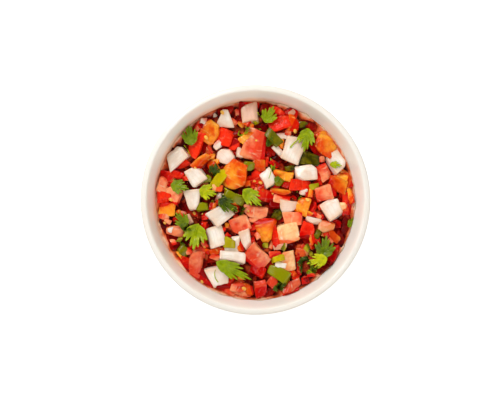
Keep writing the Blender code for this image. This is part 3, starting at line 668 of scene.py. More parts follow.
def cut_flesh_group():
    """Tomato from its skin inwards: thin skin, firm flesh, paler heart, with grains and pale fibres that are partly a
    painted wet sheen.
    """
    inputs = {
        "Position": VECTOR, "Depth": NUMBER, "Tone": NUMBER, "Skin": COLOUR, "Flesh": COLOUR, "Heart": COLOUR,
        "Fibre and sheen": COLOUR,
    }
    tree, get, end = new_tree("cut flesh", "ShaderNodeTree", inputs, {"Colour": COLOUR, "Grain": NUMBER})
    place = get["Position"]
    inner = plus(tree, plus(tree, get["Depth"], grain(tree, place, 190.0, 2.0, 0.4), 1.8), get["Tone"], 0.7)
    stretched = add(tree, "Mapping", {"Vector": place, "Scale": (1.0, 0.3, 0.3)})[0]
    fibre_and_sheen = grain(tree, stretched, 620.0)
    cut = layered(
        tree,
        get["Flesh"],
        (inner, 1.40, 2.25, 1.00, get["Heart"]),
        # Pale fibre streaks: partly real fibres and partly a painted wet sheen.
        (fibre_and_sheen, 0.56, 0.80, 0.70, get["Fibre and sheen"]),
        (grain(tree, place, 480.0, 1.0, 0.4), 0.45, 0.78, 0.36, get["Skin"]),
        (grain(tree, place, 1500.0), 0.42, 0.72, 0.12, get["Skin"]),
    )
    skinned = layered(tree, get["Skin"], (get["Depth"], 0.05, 0.10, 1.00, cut))
    bright = spread(tree, get["Tone"], 0.0, 1.0, 0.82, 1.10)
    toned = add(tree, "HueSaturation", {"Value": bright, "Color": skinned})[0]
    feed(tree, end, {"Colour": toned, "Grain": fibre_and_sheen})
    return tree


WET_FILM = wet_film_group()
CUT_FLESH = cut_flesh_group()
RIDGE_SHARE = 0.7


def new_material(name, place=None):
    """A material, its tree and shader, and the position its patterns follow: an attribute's or the object's."""
    material = bpy.data.materials.new(name)
    material.use_nodes = True
    tree = material.node_tree
    position = attribute(tree, place, "Vector") if place else add(tree, "TexCoord")["Object"]
    return material, tree, tree.nodes["Principled BSDF"], position


def wet_surface(tree, shader, position, colour, relief, rough, soak, mirrors=0.5, grains=1500.0, patches=260.0,
                ridges=None):
    """A colour under the wet film, over ridges if there are any.

    Light soaks in by a share and as far as each channel's radius in metres. Wide reflections of the room are
    weakened, because they would grey a deep colour.
    """
    inputs = {"Position": position, "Wet roughness": rough[0], "Dry roughness": rough[1],
              "Grain per metre": grains, "Patches per metre": patches}
    film = add(tree, "Group", inputs, node_tree=WET_FILM)
    height = plus(tree, film["Height"], ridges, RIDGE_SHARE) if ridges else film["Height"]
    bump = add(tree, "Bump", {"Height": height, "Strength": 1.0, "Distance": relief})
    feed(tree, shader, {
        "Base Color": colour,
        "Roughness": film["Roughness"],
        "Normal": bump[0],
        "Specular IOR Level": mirrors,
        "Subsurface Weight": soak[0],
        "Subsurface Radius": soak[1:],
        "Subsurface Scale": 1.0,
    })


def tomato_material(name, skin, flesh, heart, fibre_and_sheen, mirrors):
    material, tree, shader, within = new_material(f"tomato_{name}", "within")
    inputs = {"Position": within, "Depth": attribute(tree, "depth"), "Tone": attribute(tree, "tone")}
    for label, colour in (("Skin", skin), ("Flesh", flesh), ("Heart", heart), ("Fibre and sheen", fibre_and_sheen)):
        inputs[label] = srgb(*colour)
    cut = add(tree, "Group", inputs, node_tree=CUT_FLESH)
    wet_surface(tree, shader, within, cut["Colour"], 0.00042, (0.10, 0.26), (0.25, 0.0028, 0.0007, 0.0004), mirrors,
                1000.0, ridges=cut["Grain"])
    return material


def onion_material():
    """Onion: white and a little glassy, with the fine veins of its layers, pink where juice has soaked in, and darker
    towards its edges and by its tone, which is partly painted shade.
    """
    material, tree, shader, within = new_material("onion", "within")
    cloud = grain(tree, within, 150.0, 3.0)
    wave = {"Vector": within, "Scale": 150.0, "Distortion": 5.0, "Detail": 2.0, "Detail Scale": 0.5}
    veins = add(tree, "TexWave", wave, bands_direction="Y")["Fac"]
    tone = attribute(tree, "tone")
    # A higher tone tints the onion pink, and above 1.4 orange: partly juice soaked in, partly painted shade.
    shade = plus(tree, calc(tree, "MULTIPLY", cloud, 0.7), tone, 0.5)
    colour = layered(
        tree,
        (248, 241, 232),
        (cloud, 0.35, 0.65, 1.00, (236, 219, 202)),
        (veins, 0.80, 1.00, 0.35, (226, 212, 198)),
        (shade, 0.45, 1.20, 0.80, (234, 190, 164)),
        (tone, 1.40, 2.60, 0.60, (214, 128, 84)),
        # Darker beige towards the edges: painted shade where the piece rounds off.
        (attribute(tree, "edge"), 0.55, 1.00, 0.50, (228, 184, 146)),
        (attribute(tree, "depth"), 0.50, 1.00, 0.85, (226, 110, 80)),
    )
    wet_surface(tree, shader, within, colour, 0.00018, (0.12, 0.36), (0.35, 0.0022, 0.0016, 0.0012), 0.40, 900.0,
                ridges=calc(tree, "MULTIPLY", veins, 0.35))
    return material


def chilli_material():
    """Green chilli: dark skin or pale flesh on top, and paler cut sides."""
    material, tree, shader, within = new_material("green_chilli", "within")
    green = ramp(tree, attribute(tree, "tone"), (0.0, (44, 40, 0)), (0.3, (90, 88, 0)), (0.6, (134, 138, 0)),
                 (1.0, (210, 188, 0)))
    cloud = grain(tree, within, 320.0, 3.0)
    colour = layered(tree, green, (cloud, 0.35, 0.70, 0.50, (146, 132, 0)),
                     (attribute(tree, "depth"), 0.30, 0.75, 1.00, (176, 164, 28)))
    wet_surface(tree, shader, within, colour, 0.00022, (0.10, 0.26), (0.15, 0.0010, 0.0014, 0.0004), 0.22)
    return material


def coriander_material():
    """Coriander: bright matt green between paler veins, a little light coming through."""
    material, tree, shader, position = new_material("coriander")
    cloud = grain(tree, position, 420.0, 3.0)
    uneven = calc(tree, "MULTIPLY", calc(tree, "SUBTRACT", cloud, 0.5), 0.60)
    green = ramp(tree, calc(tree, "ADD", attribute(tree, "tone"), uneven), (0.0, (38, 56, 0)), (0.3, (84, 104, 0)),
                 (0.6, (126, 146, 0)), (0.8, (150, 168, 0)), (1.0, (196, 200, 10)))
    veined = layered(tree, green, (attribute(tree, "vein"), 0.70, 1.00, 0.40, (176, 196, 50)))
    wet_surface(tree, shader, position, veined, 0.00012, (0.22, 0.50), (0.12, 0.0006, 0.0010, 0.0002), 0.22)
    return material


def juice_material():
    """Tomato juice with fine pulp: deep red, darkened further as painted shade of the gaps between the dice, glossy
    where it is open, and thin where it creeps up the wall.
    """
    material, tree, shader, position = new_material("juice")
    cloud = grain(tree, position, 240.0, 4.0)
    climb = plus(tree, height_of(tree, position), cloud, 0.0016)
    colour = layered(
        tree,
        # The dark reds are partly the juice's own colour and partly painted shade deep in the gaps between the dice.
        (60, 0, 0),
        (cloud, 0.40, 0.75, 1.00, (136, 2, 0)),
        (grain(tree, position, 1300.0, 3.0), 0.56, 0.74, 0.55, (196, 36, 4)),
        (climb, *JUICE_THINS, 0.95, (240, 108, 56)),
        (climb, *JUICE_ENDS, 0.95, (250, 206, 172)),
    )
    wet_surface(tree, shader, position, colour, 0.00035, (0.05, 0.20), (0.15, 0.0030, 0.0006, 0.0003), 0.12, 1100.0)
    return material


def plain_wet_material(name, first, second):
    """A small wet bit of one colour that drifts to another."""
    material, tree, shader, position = new_material(name)
    colour = layered(tree, first, (grain(tree, position, 700.0), 0.35, 0.65, 1.00, second))
    wet_surface(tree, shader, position, colour, 0.0001, (0.10, 0.30), (0.20, 0.0015, 0.0008, 0.0003))
    return material


def porcelain_material():
    """Off-white glazed porcelain, its body faintly uneven, with a film of juice on the inner wall that is also
    painted red bounce light from the salsa.
    """
    material, tree, shader, position = new_material("porcelain")
    body = layered(
        tree,
        (242, 241, 237),
        (grain(tree, position, 22.0, 3.0), 0.35, 0.65, 1.00, (239, 237, 231)),
        (grain(tree, position, 2600.0, 1.0), 0.74, 0.80, 0.25, (206, 196, 178)),
    )
    # The warm tint low on the inner wall is partly a juice stain and partly painted red bounce light from the salsa.
    creep = plus(tree, height_of(tree, position), grain(tree, position, 130.0, 3.0), -0.0030)
    climbs = spread(tree, creep, STAIN_AND_BOUNCE_EDGE, STAIN_AND_BOUNCE_EDGE + STAIN_AND_BOUNCE_HEIGHT, 0.80, 0.0)
    across = add(tree, "VectorMath", {0: position, 1: STAIN_AND_BOUNCE_SIDE}, operation="DOT_PRODUCT")["Value"]
    uneven = calc(tree, "MULTIPLY", climbs, spread(tree, across, *STAIN_AND_BOUNCE_ACROSS))
    stain_and_bounce = blend(tree, calc(tree, "MULTIPLY", uneven, attribute(tree, "inside")), body, (252, 190, 140))
    wet_surface(tree, shader, position, stain_and_bounce, 0.00012, (0.14, 0.22), (0.08, 0.0030, 0.0025, 0.0020),
                grains=240.0, patches=40.0)
    return material


# Geometry Nodes


def shape_tree(name, inputs):
    """An empty Geometry Nodes tree with named inputs that puts out one shape."""
    return new_tree(name, "GeometryNodeTree", inputs, {"Shape": GEOMETRY})


def form(tree, kind, inputs=(), **settings):
    """What a new Geometry Nodes node gives."""
    return add(tree, "GeometryNode" + kind, inputs, **settings)


def end_tree(tree, shape, end, material):
    """Ends a tree in real, shaded, painted mesh."""
    for kind in ("RealizeInstances", "SetShadeSmooth"):
        shape = form(tree, kind, {"Geometry": shape})[0]
    feed(tree, end, {"Shape": form(tree, "SetMaterial", {"Geometry": shape, "Material": material})[0]})
    return tree


def grown(name, tree, start, values, material):
    """The plain mesh that a tree makes of a starting mesh, as an object."""
    base = link(name, start)
    modifier = base.modifiers.new(tree.name, "NODES")
    modifier.node_group = tree
    named = {item.name: item.identifier for item in tree.interface.items_tree if item.in_out == "INPUT"}
    for label, value in values.items():
        modifier[named[label]] = value
    mesh = bpy.data.meshes.new_from_object(base.evaluated_get(bpy.context.evaluated_depsgraph_get()))
    bpy.data.objects.remove(base)
    return finished(name, mesh, material)


def turning_tree(material):
    """Sweeps a half-profile round the axis: a lathe."""
    inputs = {"Profile": GEOMETRY, "Radius of the path": NUMBER, "Sides": COUNT}
    tree, get, end = shape_tree("turned ware", inputs)
    profile = form(tree, "MeshToCurve", {"Mesh": get["Profile"]})[0]
    circle = {"Resolution": get["Sides"], "Radius": get["Radius of the path"]}
    path = form(tree, "CurvePrimitiveCircle", circle)[0]
    swept = form(tree, "CurveToMesh", {"Curve": path, "Profile Curve": profile})[0]
    closed = form(tree, "MergeByDistance", {"Geometry": swept, "Distance": 0.00001})[0]
    return end_tree(tree, closed, end, material)


def scatter_tree(name, material, detail):
    """Small rounded bits, flattened and lying on whatever faces up."""
    inputs = {
        "Surface": GEOMETRY, "Per square metre": NUMBER, "Smallest": NUMBER, "Largest": NUMBER, "Length": NUMBER,
        "Flatness": NUMBER, "Seed": COUNT,
    }
    tree, get, end = shape_tree(name, inputs)
    up = height_of(tree, form(tree, "InputNormal")[0])
    faces_up = add(tree, "FunctionNodeCompare", {0: up, 1: LEVEL_ENOUGH}, operation="GREATER_THAN")[0]
    spots = {"Mesh": get["Surface"], "Selection": faces_up, "Density": get["Per square metre"], "Seed": get["Seed"]}
    places = form(tree, "DistributePointsOnFaces", spots)
    ball = form(tree, "MeshIcoSphere", {"Radius": 1.0, "Subdivisions": detail})[0]
    shape = add(tree, "CombineXYZ", {0: get["Length"], 1: 1.0, 2: get["Flatness"]})[0]
    bit = form(tree, "Transform", {"Geometry": ball, "Scale": shape})[0]
    turns = {"Min": (-BIT_TIP, -BIT_TIP, 0.0), "Max": (BIT_TIP, BIT_TIP, 2 * math.pi), "Seed": get["Seed"]}
    spin = add(tree, "FunctionNodeRandomValue", turns, data_type="FLOAT_VECTOR")["Value"]
    turned = add(tree, "FunctionNodeRotateRotation", {"Rotation": places["Rotation"], "Rotate By": spin},
                 rotation_space="LOCAL")[0]
    sizes = {2: get["Smallest"], 3: get["Largest"], "Seed": get["Seed"]}
    size = add(tree, "FunctionNodeRandomValue", sizes, data_type="FLOAT")[1]
    laid = {"Points": places["Points"], "Instance": bit, "Rotation": turned, "Scale": size}
    return end_tree(tree, form(tree, "InstanceOnPoints", laid)[0], end, material)


def stalk_tree(material):
    """A round stalk along each line, thinner towards its end."""
    tree, get, end = shape_tree("stalks", {"Lines": GEOMETRY, "Sides": COUNT, "Tip": NUMBER})
    lines = form(tree, "MeshToCurve", {"Mesh": get["Lines"]})[0]
    width = form(tree, "InputNamedAttribute", {"Name": "half_width"}, data_type="FLOAT")[0]
    along = form(tree, "SplineParameter")["Factor"]
    thinner = add(tree, "MapRange", {"Value": along, "To Min": 1.0, "To Max": get["Tip"]})["Result"]
    ring = form(tree, "CurvePrimitiveCircle", {"Resolution": get["Sides"], "Radius": 1.0})[0]
    sweep = {"Curve": lines, "Profile Curve": ring, "Scale": calc(tree, "MULTIPLY", width, thinner),
             "Fill Caps": True}
    return end_tree(tree, form(tree, "CurveToMesh", sweep)[0], end, material)


# Bowl


def make_bowl():
    """The solid's profile with a finer wall and rim, turned by the lathe."""
    outside = outer_wall(SMOOTH_WALL_STEPS)
    inside = SMOOTH_INNER_WALL[SMOOTH_INNER_WALL[:, 1] < RIM_HEIGHT - ROLL_DROP]
    start, end, crest = inside[-1], outside[-1], np.array(CREST)
    rising, falling = ((wall[-1] - wall[-2]) / np.linalg.norm(wall[-1] - wall[-2]) for wall in (inside, outside))
    roll = (start, start + rising * ROLL_PULL, crest - (CREST_EASE_INSIDE, 0.0), crest)
    turn = (crest, crest + (CREST_EASE_OUTSIDE, 0.0), end + falling * OUTSIDE_PULL, end)
    rim = [*bezier(roll, RIM_STEPS)[1:], *bezier(turn, RIM_STEPS)[1:-1]]
    foot = (
        (FOOT_RADIUS - FOOT_EDGE, FOOT_EDGE),
        (FOOT_RADIUS - 2 * FOOT_EDGE, 0.0),
        (FOOT_RADIUS - FOOT_WIDTH, 0.0),
        (FOOT_RADIUS - FOOT_WIDTH - FOOT_EDGE, BASE_UNDERSIDE),
        (0.0, BASE_UNDERSIDE),
    )
    floor = ((0.0, BASE_TOP), (FOOT_RADIUS / 2, BASE_TOP + FOOT_EDGE / 2))
    path = RIM_RADIUS / 2
    points = [(r - path, -z, 0.0) for r, z in (*floor, *inside, *rim, *outside[::-1], *foot)]
    line = mesh_of("bowl_profile", points, [(i, i + 1) for i in range(len(points) - 1)])
    porcelain = porcelain_material()
    values = {"Radius of the path": path, "Sides": SIDES}
    bowl = facing_out(grown("porcelain_bowl", turning_tree(porcelain), line, values, porcelain))
    spots = [v.co for v in bowl.data.vertices]
    within = [math.hypot(p.x, p.y) < radius_at(outside, p.z) - WALL / 2 for p in spots]
    keep_value(bowl.data, "inside", [p.z > BASE_TOP - FOOT_EDGE and near for p, near in zip(spots, within)])
    hand_over(bowl, "bowl")


# Dice


def netted_cube(cuts):
    """A cube from -1 to 1 covered with squares that are narrower towards its edges."""
    bm = bmesh.new()
    bmesh.ops.create_cube(bm, size=2.0)
    bmesh.ops.subdivide_edges(bm, edges=bm.edges, cuts=cuts, use_grid_fill=True)
    points = np.array([tuple(v.co) for v in bm.verts])
    faces = [[v.index for v in f.verts] for f in bm.faces]
    bm.free()
    return np.sign(points) * (1 - (1 - np.abs(points)) ** NET_NARROWING), faces


NET = {cuts: netted_cube(cuts) for cuts in (5, 7, 11)}


def block_corners(row, height, draw):
    """The eight corners of a knife-cut block, by their signs, as the solid draws them."""
    length, width, taper = row[2] * MM, row[3] * MM, row[5]
    bm = bmesh.new()
    bmesh.ops.create_cube(bm, size=1.0)
    corners = {}
    for vert in bm.verts:
        sign = tuple(int(math.copysign(1, c)) for c in vert.co)
        narrowed = 1.0 - taper * sign[0]
        corner = Vector((sign[0] * length / 2, sign[1] * width * narrowed / 2, sign[2] * height / 2))
        corner.x += draw.uniform(-1, 1) * CORNER_WANDER * length
        corner.y += draw.uniform(-1, 1) * CORNER_WANDER * width
        corner.z += draw.uniform(-1, 1) * CORNER_WANDER * height / 2
        corners[sign] = corner
    bm.free()
    return corners


def placing(row, height, draw):
    """The matrix that tilts a block about its middle and sets its top at its lift over the salsa."""
    x, y, turn, lift = row[0] * MM, row[1] * MM, math.radians(row[4]), row[6] * MM
    tilt = Matrix.Rotation(draw.uniform(-1, 1) * DICE_TILT, 4, "X")
    tilt = Matrix.Rotation(draw.uniform(-1, 1) * DICE_TILT, 4, "Y") @ tilt
    middle = Vector((x, y, food_level(x, y) + lift - height / 2))
    return Matrix.Translation(middle) @ tilt @ Matrix.Rotation(turn, 4, "Z")


def rounded(net, size, edge):
    """The net's points, from -1 to 1, on a box of this size whose edges have this radius."""
    share = np.minimum(edge / (np.array(size) / 2), 0.8)
    flat = np.clip(net, share - 1, 1 - share)
    over = (net - flat) / share
    return flat + over / np.linalg.norm(over, axis=1)[:, None] * share


def knife_cuts(whim, how):
    """Planes that slice off some upright corners and slope one or two sides of a block that runs from -1 to 1."""
    planes = []
    for x in (-1, 1):
        for y in (-1, 1):
            if whim.random() < how["corner_share"]:
                side = Vector((x * whim.uniform(0.5, 1.0), y * whim.uniform(0.5, 1.0), whim.uniform(-0.1, 0.3)))
                planes.append((side.normalized(), whim.uniform(*CORNER_CUT)))
    around = whim.uniform(0, 2 * math.pi)
    for steep, cut, share in how["slopes"]:
        if whim.random() < share:
            flat = Vector((*polar(1.0, around), 0.0)) * math.sin(steep)
            planes.append((flat + Vector((0.0, 0.0, math.cos(steep))), cut * whim.uniform(0.92, 1.06)))
        around += math.pi * whim.uniform(0.6, 1.4)
    return planes


def sliced(points, planes):
    """The points, each behind every plane, with the edge of a cut eased over a small width."""
    for normal, depth in planes:
        over = (points @ np.array(normal) - depth) / CUT_EASE
        past = CUT_EASE * np.where(over > 20, over, np.log1p(np.exp(np.minimum(over, 20))))
        points = points - past[:, None] * np.array(normal)
    return points


def between(corners, net):
    """The net's points between eight corners."""
    points = np.zeros_like(net)
    for sign, corner in corners.items():
        weight = np.prod((1 + net * np.array(sign)) / 2, axis=1)
        points += weight[:, None] * np.array(corner)
    return points


def cut_piece(row, draw, whim, look):
    """One piece: the solid's block with soft edges and fine relief, and the values its material reads."""
    corners = block_corners(row, look["height"], draw)
    place = placing(row, look["height"], draw)
    placed = kept_inside([tuple(place @ corner) for corner in corners.values()])
    net, faces = NET[look["cuts"]]
    size = (row[2] * MM, row[3] * MM, look["height"])
    soft = rounded(net, size, look["edge"] * whim.uniform(0.7, 1.3))
    planes = knife_cuts(whim, look)
    where = row[:2]
    if where in RIDGED:
        planes = [(Vector((x, y, math.sqrt(1 - x * x - y * y))), depth) for x, y, depth in RIDGED[where]]
    soft = sliced(soft, planes)
    points = between(dict(zip(corners, placed)), soft)
    points[:, 2] += look["bend"] * (0.5 - soft[:, 0] ** 2)
    sunk = np.zeros(len(points))
    for along, across, reach in HOLLOWS.get(where, ()):
        away = np.hypot(soft[:, 0] - along, soft[:, 1] - across) / reach
        sunk = np.maximum(sunk, np.exp(-HOLLOW_STEEPNESS * away**2) * (soft[:, 2] > 0))
    points[:, 2] -= HOLLOW_DEPTH * sunk
    salt = whim.uniform(0, 90)
    points = wander(points, SWELLS_PER_METRE, look["swell"], salt)
    points = wander(points, GRAINS_PER_METRE, look["rough"], salt)
    inward = FLESH_SIDES.get(where, look["inward"](whim))
    tone = (*row, TONE_LEAST + TONE_REACH * whim.random())[7]
    return {
        "points": kept_inside(points, GAP / 2),
        "faces": faces,
        "within": soft * np.array(size) / 2 + salt * MM * 7,
        # In an opened chamber the colour runs towards the skin's darker red: partly ripeness, partly painted shade.
        "depth": np.clip(soft @ np.array(inward) * 0.5 + 0.5, 0.0, 1.0) * (1.0 - HOLLOW_SHADE_AND_RIPENESS * sunk),
        "tone": np.full(len(points), float(tone)),
        "edge": np.sort(np.abs(soft), axis=1)[:, 1],
    }


def sideways(whim):
    """A direction in which the skin faces: mostly to one side of the piece, at times up."""
    angle = whim.uniform(0, 2 * math.pi)
    tip = whim.choice((0.0, 0.25, -0.35, -0.9))
    return (*polar(math.sqrt(1 - tip * tip), angle), tip)


def downwards(_):
    return (0.0, 0.0, -1.0)


# How a kind is cut: its height, the radius of its edges, how far its faces swell and how rough they are, which way
# its flesh lies, how fine its net is, its bend, and its cuts.
TOMATO_LOOK = {
    "height": DICE_HEIGHT, "edge": 0.60 * MM, "swell": 0.85 * MM, "rough": 0.18 * MM, "inward": sideways,
    "cuts": 11, "bend": 0.0, "corner_share": 0.30, "slopes": TOMATO_SLOPES,
}
ONION_LOOK = {**TOMATO_LOOK, "swell": 0.45 * MM, "rough": 0.04 * MM, "inward": downwards, "corner_share": 0.22,
              "slopes": ONION_SLOPES}
UNDER_LOOK = {**TOMATO_LOOK, "edge": 0.80 * MM, "swell": 0.70 * MM, "rough": 0.16 * MM, "cuts": 7}
BIT_LOOK = {**TOMATO_LOOK, "height": 0.0040, "edge": 0.30 * MM, "swell": 0.40 * MM, "rough": 0.10 * MM, "cuts": 5}
CHILLI_LOOK = {**TOMATO_LOOK, "height": CHILLI_HEIGHT, "swell": 0.40 * MM, "rough": 0.06 * MM, "inward": downwards,
               "bend": CHILLI_BEND, "slopes": ()}


def filler_rows(draw):
    """The smaller dice one layer down and the ring along the wall, as the solid draws them."""
    rows = []
    while len(rows) < FILLER_COUNT:
        radius = FILLER_REACH * math.sqrt(draw.random())
        angle = draw.uniform(0, 2 * math.pi)
        x, y = polar(radius, angle)
        if all(math.hypot(x - r[0] * MM, y - r[1] * MM) > FILLER_SPACING for r in rows):
            length, width = (draw.uniform(*FILLER_SIZE) / MM for _ in range(2))
            turn = draw.uniform(0, 180)
            rows.append((x / MM, y / MM, length, width, turn, 0.0, -FILLER_DROP / MM))
    count = len(WALL_DICE_KINDS)
    for number in range(count):
        angle = 2 * math.pi * (number + draw.uniform(-0.2, 0.2)) / count
        x, y = polar(WALL_DICE_RADIUS, angle)
        length = 2 * math.pi * WALL_DICE_RADIUS / count * draw.uniform(0.8, 1.1) / MM
        drop = WALL_DICE_DROP * draw.uniform(0.6, 1.6) / MM
        rows.append((x / MM, y / MM, length, WALL_DICE_WIDTH / MM, math.degrees(angle) + 90, 0.0, -drop))
    return rows


def make_dice():
    """Every kind of die as one piece. Returns the shapes, for what lies on them."""
    draw, whim = random.Random(SEED), random.Random(SEED + 1)
    under = filler_rows(draw)
    tomato = {kind: tomato_material(kind, *colours) for kind, colours in TOMATO_COLOURS.items()}
    kinds = {
        "onion_dice": (ONION_DICE, ONION_LOOK, onion_material()),
        "tomato_red_dice": (TOMATO_RED, TOMATO_LOOK, tomato["red"]),
        "tomato_pink_dice": (TOMATO_PINK, TOMATO_LOOK, tomato["pink"]),
        "tomato_orange_dice": (TOMATO_ORANGE, TOMATO_LOOK, tomato["orange"]),
        "tomato_pale_dice": (TOMATO_PALE, TOMATO_LOOK, tomato["pale"]),
        "chilli_pieces": (CHILLI_PIECES, CHILLI_LOOK, chilli_material()),
        # Dice one layer down take the darkened tomato, which is painted shade.
        "tomato_under_dice": (under, UNDER_LOOK, tomato["painted_shade"]),
    }
    parts = {name: [cut_piece(row, draw, whim, look) for row in rows] for name, (rows, look, _) in kinds.items()}
    along_wall = parts["tomato_under_dice"][FILLER_COUNT:]
    del parts["tomato_under_dice"][FILLER_COUNT:]
    for kind, part in zip(WALL_DICE_KINDS, along_wall):
        parts[f"tomato_{kind}_dice"].append(part)
    add_bits(parts)
    shapes = {name: joined(cut) for name, cut in parts.items()}
    for name, (_, _, material) in kinds.items():
        hand_over(piece(name, material, **shapes[name]))
    return shapes


def add_bits(parts):
    """Adds knife-cut scraps of tomato, onion and chilli that lie in the hollows between the dice."""
    whim = random.Random(SEED + 5)
    heap = tree_of(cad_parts["salsa"].data)
    for name, count in BIT_COUNTS.items():
        tries = 0
        for _ in range(count):
            clear = False
            while not clear:
                tries += 1
                radius, angle = BIT_REACH * math.sqrt(whim.random()), whim.uniform(0, 2 * math.pi)
                x, y = polar(radius, angle)
                sunk = height_on(heap, (x, y, 0.0), BIT_HOLLOW) - food_level(x, y)
                clear = BIT_DEPTHS[0] < sunk < BIT_DEPTHS[1] or tries > BIT_TRIES
                if tries <= BIT_TRIES:
                    clear &= all(math.hypot(x / MM - u, y / MM - v) > BIT_CLEAR for u, v in KEPT_CLEAR)
            length, width = (whim.uniform(*BIT_SIZE) / MM for _ in range(2))
            lift = (sunk + BIT_PROUD * whim.uniform(0.4, 1.2)) / MM
            row = (x / MM, y / MM, length, width * BIT_SLIMNESS, whim.uniform(0, 180), 0.0, lift)
            parts[name].append(cut_piece(row, whim, whim, BIT_LOOK))


# Juice


def make_juice():
    """The salsa's core: juice and pulp that fill the bowl to just under the dice, closed below along the wall."""
    level = RIM_HEIGHT - FOOD_EDGE_DROP - JUICE_DROP
    lowest = level + FOOD_CROWN
    edge_radius = float(radius_at(SMOOTH_INNER_WALL, lowest)) - JUICE_GAP
    wall = [(r - JUICE_GAP, z) for r, z in SMOOTH_INNER_WALL if z < lowest - 0.0004][::-4]
    profile = [(edge_radius * ring / JUICE_RINGS, level) for ring in range(1, JUICE_RINGS + 1)] + wall
    angles = np.linspace(0, 2 * math.pi, JUICE_SIDES, endpoint=False)
    points = [(*polar(r, a), z) for r, z in profile for a in angles]
    points = np.array([(0.0, 0.0, level), *points, (0.0, 0.0, wall[-1][1])])
    for i, (x, y, z) in enumerate(points[:-1]):
        if z == level:
            radius = math.hypot(x, y)
            swell = noise.noise(Vector((x, y, 0.0)) * JUICE_SWELLS_PER_METRE)
            swell += JUICE_RIPPLE * noise.noise(Vector((x, y, 1.0)) * JUICE_RIPPLES_PER_METRE)
            creep = math.exp((radius - edge_radius) / JUICE_CREEP_WIDTH) * (1.0 + 0.5 * swell)
            points[i, 2] += FOOD_CROWN + JUICE_SWELL * swell + JUICE_CREEP * creep
            out = float(radius_at(SMOOTH_INNER_WALL, points[i, 2])) - JUICE_GAP
            points[i, :2] *= 1.0 + (out / edge_radius - 1.0) * (radius / edge_radius) ** JUICE_EDGE_PULL
    faces = net_faces(len(profile), JUICE_SIDES, len(points) - 1)
    juice = facing_out(piece("juice", juice_material(), points, faces))
    hand_over(juice)
    return juice


# Coriander


def leaf_edge(share, slit=0.0):
    """A point on a leaf's edge, in leaf lengths from its stalk, as the solid has it, with slits between teeth."""
    angle = LEAF_SPREAD * share
    notch = 0.5 - 0.5 * math.cos(LEAF_LOBES * math.pi * share)
    tooth = 0.5 - 0.5 * math.cos(3 * LEAF_LOBES * math.pi * share)
    reach = (1.0 - LEAF_TAPER * share**2) * (1.0 - share**8)
    reach *= (1.0 - LOBE_DEPTH * notch**3) * (1.0 - TOOTH_DEPTH * tooth) * (1.0 - slit * tooth**4)
    return Vector((*polar(reach, angle), 0.0))


def leaf_plan():
    """A leaf's flat net, from its middle out to its edge, with how much of a vein each point is on."""
    points, veins, outs = [LEAF_MIDDLE.copy()], [1.0], [0.0]
    for ring in range(1, LEAF_RINGS + 1):
        out = (ring / LEAF_RINGS) ** 0.8
        for step in range(LEAF_EDGE_POINTS):
            share = -1 + 2 * step / LEAF_EDGE_POINTS
            points.append(LEAF_MIDDLE.lerp(leaf_edge(share, LEAF_SLIT_DEPTH), out))
            veins.append(0.5 + 0.5 * math.cos(3 * LEAF_LOBES * math.pi * share))
            outs.append(out)
    return points, net_faces(LEAF_RINGS, LEAF_EDGE_POINTS), np.array(veins), np.array(outs)


LEAF_PLAN = leaf_plan()


def laid_leaf(row, tree, whim, lift):
    """A leaf whose net is laid on what the tree holds, thick by one blade, veined and slightly curled."""
    x, y, length, width = (v * MM for v in row[:4])
    plan, faces, veins, outs = LEAF_PLAN
    half_width = leaf_edge(2 / LEAF_LOBES).y
    place = Matrix.Translation((x, y, RIM_HEIGHT - FOOD_EDGE_DROP)) @ Matrix.Rotation(math.radians(row[4]), 4, "Z")
    spots = [place @ Vector(((p.x - 0.5) * length, p.y * width / half_width / 2, 0.0)) for p in plan]
    spots = kept_inside([tuple(s) for s in spots])
    heights = [height_on(tree, spot, LEAF_TOUCH) for spot in spots]
    salt = whim.uniform(0, 90)
    for i, (spot, height) in enumerate(zip(spots, heights)):
        ripple = noise.noise(Vector(tuple(spot)) * LEAF_RIPPLES_PER_METRE + Vector((salt, 0, 0)))
        spots[i, 2] = height + lift + outs[i] * (LEAF_RIPPLE * ripple + LEAF_PLEAT * veins[i])
    count = len(spots)
    rim = list(range(count - LEAF_EDGE_POINTS, count))
    sides = [(a, b, b + count, a + count) for a, b in zip(rim, rim[1:] + rim[:1])]
    return {
        "points": np.concatenate([spots, spots + np.array((0.0, 0.0, LEAF_BLADE))]),
        "faces": [*(face[::-1] for face in faces), *([i + count for i in face] for face in faces), *sides],
        "tone": np.full(2 * count, row[5]),
        "vein": np.tile(veins * outs, 2),
    }


def make_leaves(green):
    """Each leaf on its solid, then the smaller bits on the salsa's and the leaves' solids."""
    whim = random.Random(SEED + 2)
    for number, row in enumerate(CORIANDER_LEAVES, start=1):
        node = f"coriander_leaf_{number:02d}"
        leaf = laid_leaf(row, tree_of(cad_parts[node].data), whim, -LEAF_BLADE)
        hand_over(facing_out(piece(f"fresh_{node}", green, **leaf)), node)
    bits = joined([laid_leaf(row, FOOD, whim, BITS_LIFT) for row in CORIANDER_BITS])
    hand_over(facing_out(piece("coriander_bits", green, **bits)))


